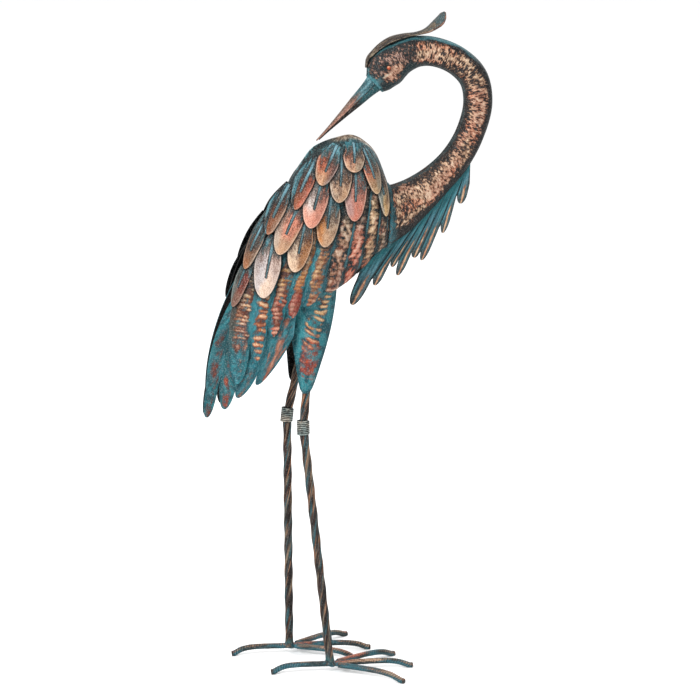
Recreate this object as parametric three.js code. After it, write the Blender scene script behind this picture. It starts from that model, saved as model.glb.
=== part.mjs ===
// A standing metal heron, preening: head turned back over the wing, long neck bent in a hook.
// Sheet-metal body, wings and plumes, twisted-bar legs and ribbed-rod toes, all welded together.
// Millimetres, +Z up, +X the way the breast points, the bird's own left side at +Y.
// The origin is at ground level, in the middle of the bounding box.
import * as THREE from "three";

// Driving dimensions
const SHEET = 1.3; // thickness of the wing and tail sheets
const COVERT_SHEET = 1.1; // thickness of one small feather
const CLEARANCE = 0.5; // air left between two sheets that lie on each other
const JOINT_GAP = 0.4; // air left where two welded pieces meet
const LEG_SIDE = 38.5; // each leg's distance from the middle plane
const BAR = 8; // side of the square leg bar
const BAR_TURN = 144; // length of bar in one full twist
const TOE_RADIUS = 4;
const COIL_RADIUS = 8.8;
const COIL_BORE = 7.3;
const COIL_TURNS = 7;
const COIL_SIDES = 10;
const HIND_TOE = 82;
const MIDDLE_TOE = 116;
const SIDE_TOE = 114;
const OUTER_SPREAD = 36; // degrees between the middle toe and the outer one
const INNER_SPREAD = 29;

// Small tools for numbers
const clamp01 = (t) => Math.min(1, Math.max(0, t));
const mix = (a, b, t) => a + (b - a) * t;
const ease = (t) => {
  const c = clamp01(t);
  return c * c * (3 - 2 * c);
};
const range = (n) => Array.from({ length: n }, (_, i) => i);
const point = ([x, z]) => new THREE.Vector3(x, 0, z);

// A smooth curve through [place, value] pairs, held level outside them.
function profile(knots) {
  return (at) => {
    const last = knots.length - 1;
    if (at <= knots[0][0]) return knots[0][1];
    if (at >= knots[last][0]) return knots[last][1];
    const i = knots.findIndex(([place]) => place > at) - 1;
    const [x0, y0] = knots[i];
    const [x1, y1] = knots[i + 1];
    const slope = (k) => {
      const [a, b] = [knots[Math.max(0, k - 1)], knots[Math.min(last, k + 1)]];
      return (b[1] - a[1]) / (b[0] - a[0]);
    };
    const t = (at - x0) / (x1 - x0);
    const span = x1 - x0;
    return (
      y0 * (1 + 2 * t) * (1 - t) ** 2 +
      slope(i) * span * t * (1 - t) ** 2 +
      y1 * t * t * (3 - 2 * t) +
      slope(i + 1) * span * t * t * (t - 1)
    );
  };
}

// A closed solid from points and faces of three or four point numbers, all faces wound the same way.
function solid(points, faces) {
  const split = ([a, b, c, d]) => (d === undefined ? [[a, b, c]] : [[a, b, c], [a, c, d]]);
  const triangles = faces.flatMap(split);
  const volume = ([a, b, c]) => points[a].dot(points[b].clone().cross(points[c]));
  const facesIn = triangles.reduce((sum, t) => sum + volume(t), 0) < 0;
  const geometry = new THREE.BufferGeometry();
  geometry.setFromPoints(points);
  geometry.setIndex(triangles.flatMap(([a, b, c]) => (facesIn ? [a, c, b] : [a, b, c])));
  geometry.computeVertexNormals();
  return geometry;
}

// Joins rings of equal size into a closed tube with flat ends.
function loft(rings) {
  const n = rings[0].length;
  const points = rings.flat();
  const faces = [];
  for (let i = 0; i + 1 < rings.length; i++)
    for (let j = 0; j < n; j++) {
      const k = (j + 1) % n;
      faces.push([i * n + j, i * n + k, (i + 1) * n + k, (i + 1) * n + j]);
    }
  const end = (rings.length - 1) * n;
  for (let j = 1; j + 1 < n; j++) {
    faces.push([0, j + 1, j]);
    faces.push([end, end + j, end + j + 1]);
  }
  return solid(points, faces);
}

// Gives an open sheet its thickness: its faces show from the left side, and the metal is behind them.
function thicken({ points, quads }, thickness) {
  const normals = points.map(() => new THREE.Vector3());
  for (const quad of quads) {
    const [a, b, c, d] = quad.map((i) => points[i]);
    const across = c.clone().sub(a);
    const face = across.cross(d.clone().sub(b));
    for (const i of quad) normals[i].add(face);
  }
  const n = points.length;
  const back = points.map((p, i) =>
    p.clone().addScaledVector(normals[i].normalize(), -thickness),
  );
  const faces = quads.map((q) => [...q]);
  for (const [a, b, c, d] of quads) faces.push([d + n, c + n, b + n, a + n]);
  const edges = new Set();
  for (const q of quads)
    q.forEach((a, i) => edges.add(a + " " + q[(i + 1) % q.length]));
  for (const edge of edges) {
    const [a, b] = edge.split(" ").map(Number);
    if (!edges.has(b + " " + a)) faces.push([b, a, a + n, b + n]);
  }
  return solid([...points, ...back], faces);
}

// The bird's outline over the wings: upright sections along X, each an ellipse between the back and the belly
const SEAM_X = 50; // where the neck is welded on
const BODY_END = -146;
const backLine = profile([
  [-146, 548], [-143, 575], [-136, 602], [-125, 622], [-107, 646], [-94, 661], [-80, 679],
  [-67, 697], [-54, 712], [-40, 722], [-27, 730], [-13, 735], [0, 737], [11, 734], [20, 728],
  [29, 720], [36, 710], [41, 699], [45, 688], [52, 668],
]);
const bellyLine = profile([
  [-146, 540], [-143, 515], [-136, 497], [-120, 487], [-100, 488], [-75, 495],
  [-50, 507], [-30, 520], [-10, 537], [10, 555], [30, 573], [50, 584],
]);
const flankWidth = profile([
  [-146, 3], [-143, 18], [-136, 29], [-120, 38], [-100, 45], [-75, 50],
  [-50, 53], [-10, 52.5], [10, 51], [30, 48], [50, 42],
]);
const shellInset = profile([[-10, 6.5], [30, 6], [50, 4]]); // how far inside the wings the shell lies
const bellyInset = profile([[10, 8], [50, 0]]);

function ellipseOut(x, z) {
  const middle = (backLine(x) + bellyLine(x)) / 2;
  const tall = (backLine(x) - bellyLine(x)) / 2;
  const rise = (z - middle) / tall;
  return flankWidth(x) * Math.sqrt(Math.max(0.02, 1 - rise * rise));
}

// Below the shoulder the wing is a leaf: full in the middle, rolled in towards the ridge at its back edge.
const SHOULDER = [0, 735];
const WING_AXIS = [-0.447, -0.894]; // the way the leaf points, down and back
const leafWidth = profile([
  [-10, 22], [20, 39], [60, 50], [120, 57], [200, 58], [270, 54], [340, 42], [420, 21],
]);
const backEdge = profile([
  [0, 10], [16, 22], [43, 39], [82, 49], [122, 59], [155, 65],
  [198, 66], [230, 61], [263, 52], [325, 42], [385, 32], [420, 24],
]);
const backRoll = profile([
  [0, 25], [16, 33], [43, 40], [82, 44], [122, 45], [155, 44],
  [198, 38], [230, 26], [263, 15], [325, 11], [420, 7],
]);
const STEEPEST_ROLL = 1.6; // past its back edge the leaf rolls in no further than this share more
const FRONT_ROLL = 6; // how far in it lies at FRONT_REACH in front of its axis
const FRONT_REACH = 75;
const TAIL_TILT = 0.35; // how much it leans out towards the front at its lower end
const TAIL_AT = 420; // the length down to that end

function leafOut(x, z) {
  const [dx, dz] = [x - SHOULDER[0], z - SHOULDER[1]];
  const along = dx * WING_AXIS[0] + dz * WING_AXIS[1];
  const across = dz * WING_AXIS[0] - dx * WING_AXIS[1];
  const rolled =
    across < 0
      ? backRoll(along) * Math.min(STEEPEST_ROLL, (-across / backEdge(along)) ** 3)
      : FRONT_ROLL * (across / FRONT_REACH) ** 2;
  return leafWidth(along) + TAIL_TILT * (along / TAIL_AT) ** 2 * across - rolled;
}

// How far from the middle plane the wing's face lies, at a place in the side view
const BLEND_FROM = -5; // the leaf takes over from the ellipse between these two places along X
const BLEND_TO = -60;
const wingFace = (x, z) =>
  mix(ellipseOut(x, z), leafOut(x, z), ease((x - BLEND_FROM) / (BLEND_TO - BLEND_FROM)));

// The shell's own half width at a place in the side view, 0 outside it
function shellOut(x, z) {
  const [top, bottom] = [backLine(x), bellyLine(x) + bellyInset(x)];
  const rise = (2 * z - top - bottom) / (top - bottom);
  if (x < BODY_END || x > SEAM_X || Math.abs(rise) > 1) return 0;
  return (flankWidth(x) - shellInset(x)) * Math.sqrt(1 - rise * rise);
}

function bodyShell() {
  const places = [SEAM_X, 44, 38, 31, 22, 10, -4, -22, -42, -62, -82, -102, -120, -134, -142, BODY_END];
  const sides = 14;
  const ring = (x) =>
    range(sides).map((i) => {
      const turn = (i / sides) * 2 * Math.PI;
      const [top, bottom] = [backLine(x), bellyLine(x) + bellyInset(x)];
      const z = mix(bottom, top, (1 + Math.sin(turn)) / 2);
      const width = Math.max(1, flankWidth(x) - shellInset(x)) * Math.abs(Math.cos(turn));
      const inside = Math.max(1, wingFace(x, z) - shellInset(x));
      return new THREE.Vector3(x, Math.sign(Math.cos(turn)) * Math.min(width, inside), z);
    });
  return loft(places.map(ring));
}

// How much longer a step straight out of the side view is than the sheet is thick there
const STEEPEST_FACE = 2;
function wingSlope(x, z) {
  const alongX = (wingFace(x + 1, z) - wingFace(x - 1, z)) / 2;
  const alongZ = (wingFace(x, z + 1) - wingFace(x, z - 1)) / 2;
  return Math.min(STEEPEST_FACE, Math.hypot(1, alongX, alongZ));
}

// A comb of feathers pressed in one sheet: ridged lobes side by side, free of each other below their notches.
// tops and notches have one point more than tips, all as [x, z], from the front to the back.
const RIDGE_AT_TOP = 0.75; // a ridge's share of its full height at its upper end, and at its tip
const RIDGE_AT_TIP = 0.35;
const TIP_BLUNT = 0.97; // a lobe's tip is an ellipse cut off at this share of its length
function comb({ tops, notches, tips, bow, out, ridge, rows, tipRows }) {
  const points = [];
  const quads = [];
  const add = (x, z, height) => points.push(new THREE.Vector3(x, out(x, z) + height, z)) - 1;
  const edge = (k, t) => {
    const [a, b] = [tops[k], notches[k]];
    const bend = bow(k) * 4 * t * (1 - t);
    return [mix(a[0], b[0], t) + bend, mix(a[1], b[1], t)];
  };
  const grooves = tops.map((_, k) =>
    range(rows + 1).map((r) => add(...edge(k, r / rows), 0)),
  );
  tips.forEach((tip, k) => {
    let last = range(rows + 1).map((r) => {
      const [f, b] = [edge(k, r / rows), edge(k + 1, r / rows)];
      const rise = ridge * mix(RIDGE_AT_TOP, 1, r / rows);
      return add((f[0] + b[0]) / 2, (f[1] + b[1]) / 2, rise);
    });
    for (let r = 0; r < rows; r++) {
      quads.push([grooves[k][r], grooves[k][r + 1], last[r + 1], last[r]]);
      quads.push([last[r], last[r + 1], grooves[k + 1][r + 1], grooves[k + 1][r]]);
    }
    let row = [grooves[k][rows], last[rows], grooves[k + 1][rows]];
    const [front, rear] = [notches[k], notches[k + 1]];
    for (let r = 1; r <= tipRows; r++) {
      const t = r / tipRows;
      const width = Math.sqrt(1 - (TIP_BLUNT * t) ** 2);
      const centre = [0, 1].map((i) => mix((front[i] + rear[i]) / 2, tip[i], t));
      const half = [0, 1].map((i) => ((front[i] - rear[i]) / 2) * width);
      const next = [
        add(centre[0] + half[0], centre[1] + half[1], 0),
        add(centre[0], centre[1], ridge * mix(1, RIDGE_AT_TIP, t)),
        add(centre[0] - half[0], centre[1] - half[1], 0),
      ];
      quads.push([row[0], next[0], next[1], row[1]]);
      quads.push([row[1], next[1], next[2], row[2]]);
      row = next;
    }
  });
  return { points, quads };
}

// Points at even steps on a quadratic curve from a to c that leans towards b
const bowed = (a, b, c, n) =>
  range(n).map((i) => {
    const t = i / (n - 1);
    const blend = (k) => a[k] * (1 - t) ** 2 + 2 * b[k] * t * (1 - t) + c[k] * t * t;
    return [blend(0), blend(1)];
  });

const wingComb = comb({
  tops: bowed([44, 664], [8, 748], [-116, 628], 10),
  notches: [
    [45, 598], [30, 571], [8, 551], [-20, 545], [-44, 537],
    [-73, 524], [-95, 514], [-119, 497], [-142, 471], [-170, 462],
  ],
  tips: [
    [39, 584], [17, 558], [-7, 540], [-34, 532], [-64, 516],
    [-86, 500], [-110, 476], [-132, 440], [-158, 409],
  ],
  bow: (k) => -13 * ease((k - 5) / 4),
  out: wingFace,
  ridge: 4.5,
  rows: 5,
  tipRows: 3,
});

const TAIL_SET_BACK = 8; // the tail sheet's face lies this far behind the wing's
const tailComb = comb({
  tops: bowed([-76, 545], [-110, 572], [-146, 552], 5),
  notches: [[-84, 474], [-129, 428], [-158, 409], [-180, 411], [-198, 398]],
  tips: [[-123, 413], [-153, 389], [-176, 371], [-198, 358]],
  bow: (k) => -4 * k,
  out: (x, z) => wingFace(x, z) - TAIL_SET_BACK,
  ridge: 2.6,
  rows: 4,
  tipRows: 3,
});

// The small feathers: root and tip as [x, z], width in the side view, bow for the middle line's lean
// to the tail, and dip for how far a root at the ridge sinks below the wing's face towards the shell.
const COVERTS = [
  { name: "neck_edge", root: [20, 719], tip: [41, 632], width: 18, bow: -4, dip: 3 },
  { name: "shoulder_1", root: [11, 724], tip: [28, 663], width: 22, bow: -2, dip: 3 },
  { name: "shoulder_2", root: [0, 729], tip: [-4, 692], width: 29, bow: 0, dip: 3 },
  { name: "shoulder_3", root: [-22, 726], tip: [-50, 677], width: 27, bow: 2, dip: 4 },
  { name: "upper_1", root: [0, 710], tip: [-3, 627], width: 31, bow: 0 },
  { name: "upper_2", root: [-17, 721], tip: [-25, 653], width: 31, bow: 0, dip: 3 },
  { name: "upper_3", root: [-49, 710], tip: [-84, 645], width: 22, bow: 3, dip: 5 },
  { name: "middle_1", root: [-33, 672], tip: [-44, 594], width: 32, bow: 0 },
  { name: "middle_2", root: [-41, 694], tip: [-65, 621], width: 32, bow: 2 },
  { name: "middle_3", root: [-85, 674], tip: [-119, 611], width: 20, bow: 3, dip: 5 },
  { name: "lower_1", root: [-67, 640], tip: [-85, 562], width: 32, bow: 0 },
  { name: "lower_2", root: [-68, 667], tip: [-106, 586], width: 30, bow: 2 },
  { name: "lower_3", root: [-115, 634], tip: [-149, 565], width: 20, bow: 3, dip: 4 },
  { name: "last_1", root: [-109, 610], tip: [-128, 529], width: 33, bow: 1 },
  { name: "last_2", root: [-133, 590], tip: [-165, 514], width: 21, bow: 4 },
];
const BLADE_ROWS = [0, 0.38, 0.68, 0.9, 1];
const bladeWidth = profile([[0, 0.32], [0.38, 0.86], [0.68, 1], [0.9, 0.88], [1, 0.6]]);
const DIP_END = 0.3; // the share of the length over which the dip runs out
const BLADE_COLUMNS = [-1, -0.5, 0, 0.5, 1];
const TIP_ROUND = 0.075; // how far a tip's corners are drawn back, as a share of the length
const BLADE_CAMBER = 3.2; // how far a feather's edges fall below its middle
const QUILL_DEPTH = 1.1; // the pressed line down its middle
const QUILL_END = 0.68; // and the share of the length it runs to

// Height of a small feather's face above its own edges, at a share along it and across it
function bladeHeight(s, across) {
  const dome = BLADE_CAMBER * bladeWidth(s) * (1 - across * across);
  const pressed = across === 0 && s <= QUILL_END ? QUILL_DEPTH : 0;
  return dome - pressed;
}

// One small feather as a sheet, raised off the wing's face by lift at its root and by lift + climb
// at its tip.
function blade({ root, tip, width, bow, dip = 0 }, lift, climb) {
  const [dx, dz] = [tip[0] - root[0], tip[1] - root[1]];
  const length = Math.hypot(dx, dz);
  const side = [dz / length, -dx / length]; // towards the tail
  const points = [];
  const quads = [];
  for (const s of BLADE_ROWS)
    for (const c of BLADE_COLUMNS) {
      const reach = s - TIP_ROUND * s ** 4 * c * c;
      const aside = (c * width * bladeWidth(s)) / 2 + bow * 4 * reach * (1 - reach);
      const x = root[0] + dx * reach + side[0] * aside;
      const z = root[1] + dz * reach + side[1] * aside;
      const height = lift + climb * s + bladeHeight(s, c) - dip * clamp01(1 - s / DIP_END);
      points.push(new THREE.Vector3(x, wingFace(x, z) + height, z));
    }
  const n = BLADE_COLUMNS.length;
  for (let r = 0; r + 1 < BLADE_ROWS.length; r++)
    for (let c = 0; c + 1 < n; c++) {
      const a = r * n + c;
      quads.push([a, a + 1, a + n + 1, a + n]);
    }
  return { points, quads };
}

// Calls visit(x, z, height above the wing's face) at close steps over every quad of a sheet
function sample({ points, quads }, visit) {
  const steps = 8;
  for (const quad of quads) {
    const [a, b, c, d] = quad.map((i) => points[i]);
    for (let i = 0; i <= steps; i++)
      for (let j = 0; j <= steps; j++) {
        const blend = (k) => mix(mix(a[k], b[k], i / steps), mix(d[k], c[k], i / steps), j / steps);
        const [x, z] = [blend("x"), blend("z")];
        visit(x, z, blend("y") - wingFace(x, z));
      }
  }
}

// What already lies on the wing: its greatest height above the wing's face, over each small square
// of the side view
const SQUARE = 1.5;
const SHELL_ROUGHNESS = 0.8; // how far the shell's flat facets may differ from its smooth form
const pile = new Map();
const squareOf = (x, z) => [Math.round(x / SQUARE), Math.round(z / SQUARE)];
function layDown(sheet) {
  sample(sheet, (x, z, height) => {
    const key = squareOf(x, z).join();
    pile.set(key, Math.max(height, pile.get(key) ?? height));
  });
}
function pileAt(x, z) {
  const [i, j] = squareOf(x, z);
  let top = shellOut(x, z) + SHELL_ROUGHNESS - wingFace(x, z);
  for (let a = -1; a <= 1; a++)
    for (let b = -1; b <= 1; b++) top = Math.max(top, pile.get(i + a + "," + (j + b)) ?? top);
  return top;
}

// Lays one small feather on the pile, as low as it goes, and returns its sheet.
const STEEPEST_CLIMB = 9; // how far a feather's tip may stand higher off the wing than its root
const CLIMB_STEP = 0.25;
const LIFT_WEIGHT = 3; // a root that stands off the wing is worse than a tip, this many times
function settle(feather) {
  const { root, tip } = feather;
  const [dx, dz] = [tip[0] - root[0], tip[1] - root[1]];
  const needs = [];
  sample(blade(feather, 0, 0), (x, z, height) => {
    const share = clamp01(((x - root[0]) * dx + (z - root[1]) * dz) / (dx * dx + dz * dz));
    const metal = COVERT_SHEET * wingSlope(x, z);
    needs.push([share, pileAt(x, z) + metal + CLEARANCE - height]);
  });
  let best = null;
  for (let climb = 0; climb <= STEEPEST_CLIMB; climb += CLIMB_STEP) {
    const lift = Math.max(...needs.map(([share, need]) => need - climb * share));
    const cost = LIFT_WEIGHT * lift + climb;
    if (!best || cost < best.cost) best = { lift, climb, cost };
  }
  const sheet = blade(feather, best.lift, best.climb);
  layDown(sheet);
  return sheet;
}

// The neck and head: rings round a curve in the middle plane, from the weld at the breast to the beak.
// Each station is [x, z, half height, half depth].
const NECK = [
  [50.4, 627, 43, 38], [66, 636, 34.5, 33], [92, 653, 27, 26.5], [119, 675, 22, 21.5],
  [143, 700, 20, 19], [163, 734, 19, 18], [174.5, 777, 19.2, 17.5], [168, 811, 19, 17.5],
  [145, 834, 18.6, 17.5], [115, 846, 18.8, 17], [92, 847, 20, 16.5], [73.5, 841.4, 22, 17.5],
  [59, 833, 24.8, 19], [48, 822.5, 25.4, 19.5], [38.5, 811, 20.5, 15.5], [32.6, 804.2, 14.6, 11.5],
];
const NECK_SIDES = 12;
const NECK_RINGS = 28;
const SQUARE_SHARE = 0.1; // the share of the neck, at each end, over which its rings turn square to the weld
const BEAK_BASE = [31.2, 802.8];
const BEAK_TIP = [-45, 729];
const beakward = point(BEAK_TIP).sub(point(BEAK_BASE)).normalize();

function neckAndHead() {
  const line = new THREE.CatmullRomCurve3(NECK.map(([x, z]) => new THREE.Vector3(x, 0, z)));
  const tall = profile(NECK.map((s, i) => [i / (NECK.length - 1), s[2]]));
  const deep = profile(NECK.map((s, i) => [i / (NECK.length - 1), s[3]]));
  const rings = range(NECK_RINGS + 1).map((i) => {
    const t = i / NECK_RINGS;
    const centre = line.getPoint(t);
    const tangent = line.getTangent(t);
    tangent.lerp(new THREE.Vector3(1, 0, 0), 1 - ease(t / SQUARE_SHARE));
    tangent.lerp(beakward, 1 - ease((1 - t) / SQUARE_SHARE)).normalize();
    const outer = new THREE.Vector3(-tangent.z, 0, tangent.x);
    return range(NECK_SIDES).map((j) => {
      const turn = (j / NECK_SIDES) * 2 * Math.PI;
      return centre
        .clone()
        .addScaledVector(outer, -tall(t) * Math.sin(turn))
        .add(new THREE.Vector3(0, -deep(t) * Math.cos(turn), 0));
    });
  });
  return loft(rings.reverse());
}

// The beak: two halves of a long cone, the upper one a little wider.
const BEAK_SHARES = [0, 0.12, 0.3, 0.55, 0.8, 1];
const beakTall = profile([[0, 13.4], [0.12, 10.8], [0.3, 8.8], [0.55, 5.6], [0.8, 2.9], [1, 1.5]]);
const beakDeep = profile([[0, 10.4], [0.12, 8.6], [0.3, 7], [0.55, 4.8], [0.8, 2.9], [1, 1.5]]);
const BEAK_STEPS = 6; // facets round one half

// upper is 1 for the upper half and -1 for the lower one; slimmer and reach are shares of the full size
function mandible(upper, slimmer, reach) {
  const axis = point(BEAK_TIP).sub(point(BEAK_BASE));
  const start = point(BEAK_BASE).addScaledVector(beakward, JOINT_GAP);
  const up = new THREE.Vector3(beakward.z, 0, -beakward.x).multiplyScalar(upper);
  const rings = BEAK_SHARES.map((share) => {
    const centre = start.clone().addScaledVector(axis, share * reach);
    const arc = range(BEAK_STEPS + 1).map((i) => {
      const turn = (i / BEAK_STEPS) * Math.PI;
      return centre
        .clone()
        .addScaledVector(up, JOINT_GAP / 2 + beakTall(share) * Math.sin(turn) * slimmer)
        .add(new THREE.Vector3(0, -upper * beakDeep(share) * Math.cos(turn) * slimmer, 0));
    });
    return arc;
  });
  return loft(rings);
}

// The crest: a gutter-shaped strip that lies over the crown and springs free behind it.
const CREST_LINE = [
  [21.6, 826], [23.5, 838], [31, 847.5], [42, 857.5], [56, 865.5], [73, 869.4],
  [90, 871.4], [103, 876], [114, 884.5], [122, 892], [128, 898.6],
];
const crestWidth = profile([
  [0, 2.4], [0.2, 8], [0.4, 11.5], [0.58, 7], [0.66, 7], [0.82, 10.5], [0.94, 8], [1, 3],
]);
const crestDroop = profile([[0, 0.5], [0.4, 3.4], [0.6, 1.6], [0.85, 4.6], [1, 1]]);
const CREST_TWIST = 28; // degrees that its free end leans towards the left side
const TWIST_FROM = 0.55; // the shares of its length between which it twists
const TWIST_TO = 0.9;
function crest() {
  const line = new THREE.CatmullRomCurve3(CREST_LINE.map(point));
  const rows = 10;
  const columns = [-1, -0.5, 0, 0.5, 1];
  const points = [];
  const quads = [];
  for (let r = 0; r <= rows; r++) {
    const t = r / rows;
    const [centre, along] = [line.getPoint(t), line.getTangent(t)];
    const up = new THREE.Vector3(-along.z, 0, along.x);
    const twist = THREE.MathUtils.degToRad(CREST_TWIST * ease((t - TWIST_FROM) / (TWIST_TO - TWIST_FROM)));
    for (const c of columns) {
      const offset = up.clone().multiplyScalar(-crestDroop(t) * c * c);
      offset.add(new THREE.Vector3(0, c * crestWidth(t), 0));
      points.push(offset.applyAxisAngle(along, twist).add(centre));
    }
  }
  const n = columns.length;
  for (let r = 0; r < rows; r++)
    for (let c = 0; c + 1 < n; c++) {
      const a = r * n + c;
      quads.push([a, a + n, a + n + 1, a + 1]);
    }
  return thicken({ points, quads }, SHEET);
}

// An eye: a bead on the side of the head
const EYE = { x: 49, z: 826.5, out: 19.9, radius: 3.2 };
// Width and height of each ring of its dome, as shares of the radius
const EYE_DOME = [[1, 0], [0.82, 0.55], [0.42, 0.88]];
const EYE_SIDES = 10;
function eye() {
  const ring = ([wide, high]) =>
    range(EYE_SIDES).map((i) => {
      const turn = (i / EYE_SIDES) * 2 * Math.PI;
      const reach = EYE.radius * wide;
      return new THREE.Vector3(
        EYE.x + reach * Math.cos(turn),
        EYE.out + EYE.radius * high,
        EYE.z + reach * Math.sin(turn),
      );
    });
  return loft(EYE_DOME.map(ring));
}

// The breast plume: one comb of narrow feathers in the middle plane, under the neck
const PLUME_OUT = 2.5; // how far left of the middle plane its face lies, in its middle at the neck
const plume = comb({
  tops: [
    [168.5, 697], [162, 684], [151, 669.5], [135, 653], [122.5, 640.5],
    [113, 632], [103, 623.5], [77, 602], [20, 555],
  ],
  notches: [
    [165, 668], [147, 652], [124, 610], [96.5, 574.5], [86.5, 577],
    [68, 566], [57, 564], [31, 540], [9, 538],
  ],
  tips: [[152, 641], [128, 601], [99, 564], [88, 568], [66, 544], [58, 556], [34, 531], [3, 505]],
  bow: () => 0,
  out: (x, z) => PLUME_OUT + 0.012 * (x - 90) + 0.03 * (640 - z),
  ridge: 1.6,
  rows: 2,
  tipRows: 3,
});

// A thigh: a leaf of sheet bulging outwards, from the body's flank under the wing down to the leg
const THIGH_TOP = 545;
const THIGH_FOOT = 394;
const thighMiddle = profile([[0, -57], [0.35, -58.7], [0.57, -60], [0.79, -63.5], [1, -67.3]]);
const thighHalf = profile([
  [0, 33], [0.12, 35], [0.35, 31], [0.57, 23.5], [0.79, 15.5], [0.94, 9.5], [1, 5.5],
]);
const thighRoll = profile([[0, 14], [0.12, 20], [0.35, 18], [0.6, 12], [0.8, 7], [1, 3]]);
const THIGH_OUT = 46.8; // its middle line's distance from the middle plane
const THIGH_OFF_BODY = 2.6;

// tipShift moves the thigh's foot along X, as its leg stands.
function thigh(tipShift) {
  const rows = 7;
  const columns = [-1, -0.5, 0, 0.5, 1];
  const points = [];
  const quads = [];
  for (let r = 0; r <= rows; r++)
    for (const c of columns) {
      const t = r / rows;
      const z = mix(THIGH_TOP, THIGH_FOOT, t);
      const x = thighMiddle(t) + c * thighHalf(t) + tipShift * t * t;
      const offBody = shellOut(x, z) + THIGH_OFF_BODY;
      points.push(new THREE.Vector3(x, Math.max(THIGH_OUT - thighRoll(t) * c * c, offBody), z));
    }
  const n = columns.length;
  for (let r = 0; r < rows; r++)
    for (let c = 0; c + 1 < n; c++) {
      const a = r * n + c;
      quads.push([a, a + n, a + n + 1, a + 1]);
    }
  return thicken({ points, quads }, SHEET);
}

// A square bar twisted about its own line, from one point to another
const BAR_STEPS = 12; // rings in one full twist
function twistedBar(from, to, startTurn) {
  const axis = to.clone().sub(from);
  const length = axis.length();
  axis.normalize();
  const front = new THREE.Vector3(0, 1, 0).cross(axis).normalize();
  const side = axis.clone().cross(front);
  const steps = Math.round((length / BAR_TURN) * BAR_STEPS);
  const rings = range(steps + 1).map((i) => {
    const along = (length * i) / steps;
    return range(4).map((k) => {
      const turn = startTurn + (2 * Math.PI * along) / BAR_TURN + (k * Math.PI) / 2;
      return from
        .clone()
        .addScaledVector(axis, along)
        .addScaledVector(front, BAR * Math.SQRT1_2 * Math.cos(turn))
        .addScaledVector(side, BAR * Math.SQRT1_2 * Math.sin(turn));
    });
  });
  return loft(rings);
}

// The wound wire at a knee, as a ribbed sleeve round the two bars' ends
const WIRE_GROOVE = 0.32; // depth of the groove between two turns, as a share of the wire's thickness
function kneeCoil(low, high) {
  const axis = high.clone().sub(low);
  const length = axis.length();
  const wire = length / COIL_TURNS;
  const groove = COIL_RADIUS - wire * WIRE_GROOVE;
  const outline = [new THREE.Vector2(COIL_BORE, 0)];
  for (let i = 0; i < COIL_TURNS; i++) {
    outline.push(new THREE.Vector2(groove, i * wire));
    outline.push(new THREE.Vector2(COIL_RADIUS, (i + 0.5) * wire));
  }
  outline.push(new THREE.Vector2(groove, length));
  outline.push(new THREE.Vector2(COIL_BORE, length));
  outline.push(outline[0].clone());
  const sleeve = new THREE.LatheGeometry(outline, COIL_SIDES);
  const upright = new THREE.Vector3(0, 1, 0);
  sleeve.applyQuaternion(new THREE.Quaternion().setFromUnitVectors(upright, axis.normalize()));
  return sleeve.translate(low.x, low.y, low.z);
}

// A toe: a rod along a level line that turns down at its end to stand on the ground, where it is
// ground flat. Headings are in degrees from +X towards +Y.
const TOE_LEVEL = 11; // height of a toe's middle line above the ground
const TOE_SIDES = 8;
const TOE_DROP = TOE_LEVEL - TOE_RADIUS + 0.5; // the ground-off end would dip half a millimetre below
const TOE_SHARES = [0.12, 0.35, 0.58, 0.74, 0.84, 0.91, 0.96, 1];
const toeRise = profile([
  [0, 0], [0.4, 0.8], [0.68, 0.4], [0.84, -2.4], [0.96, -TOE_DROP], [1, -TOE_DROP - 0.4],
]);
const headingOf = (degrees) => {
  const turn = THREE.MathUtils.degToRad(degrees);
  return new THREE.Vector3(Math.cos(turn), Math.sin(turn), 0);
};
const toeLine = (hub, heading, length) =>
  TOE_SHARES.map((share) =>
    hub
      .clone()
      .addScaledVector(headingOf(heading), share * length)
      .setZ(TOE_LEVEL + toeRise(share)),
  );
function rod(line) {
  const curve = new THREE.CatmullRomCurve3(line);
  const rings = line.map((centre, i) => {
    const along = curve.getTangent(i / (line.length - 1));
    const level = new THREE.Vector3(0, 0, 1).cross(along).normalize();
    const up = along.clone().cross(level);
    return range(TOE_SIDES).map((k) => {
      const turn = ((k + 0.5) / TOE_SIDES) * 2 * Math.PI;
      return centre
        .clone()
        .addScaledVector(level, TOE_RADIUS * Math.cos(turn))
        .addScaledVector(up, TOE_RADIUS * Math.sin(turn));
    });
  });
  for (const p of rings.flat()) p.z = Math.max(0, p.z);
  return rings;
}

// The hind toe and the middle toe are one rod across the foot.
function longToe(hub) {
  const hind = toeLine(hub, 180, HIND_TOE).reverse();
  const ahead = toeLine(hub, 0, MIDDLE_TOE);
  return loft(rod([...hind, ...ahead]));
}

// A side toe is cut off slanting, to lie against the long one.
function sideToe(hub, spread, length) {
  const own = headingOf(spread);
  const rings = rod(toeLine(hub, spread, length));
  const away = headingOf(90 * Math.sign(spread));
  for (const p of rings[0]) {
    const gap = TOE_RADIUS + JOINT_GAP - p.clone().sub(hub).dot(away);
    p.addScaledVector(own, gap / own.dot(away));
  }
  return loft(rings);
}

// Finishes, one for each kind of surface
const finish = (color, roughness, metalness) =>
  new THREE.MeshStandardMaterial({ color, roughness, metalness });
const hammeredCopper = finish(0x7a5f4c, 0.5, 0.75);
const tealFlutes = finish(0x3d8a92, 0.55, 0.6);
const featherCopper = finish(0xa9785f, 0.45, 0.75);
const tealPlume = finish(0x4e93a0, 0.5, 0.65);
const darkBar = finish(0x5d6258, 0.5, 0.7);
const eyeCopper = finish(0xd98a63, 0.4, 0.7);

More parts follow.
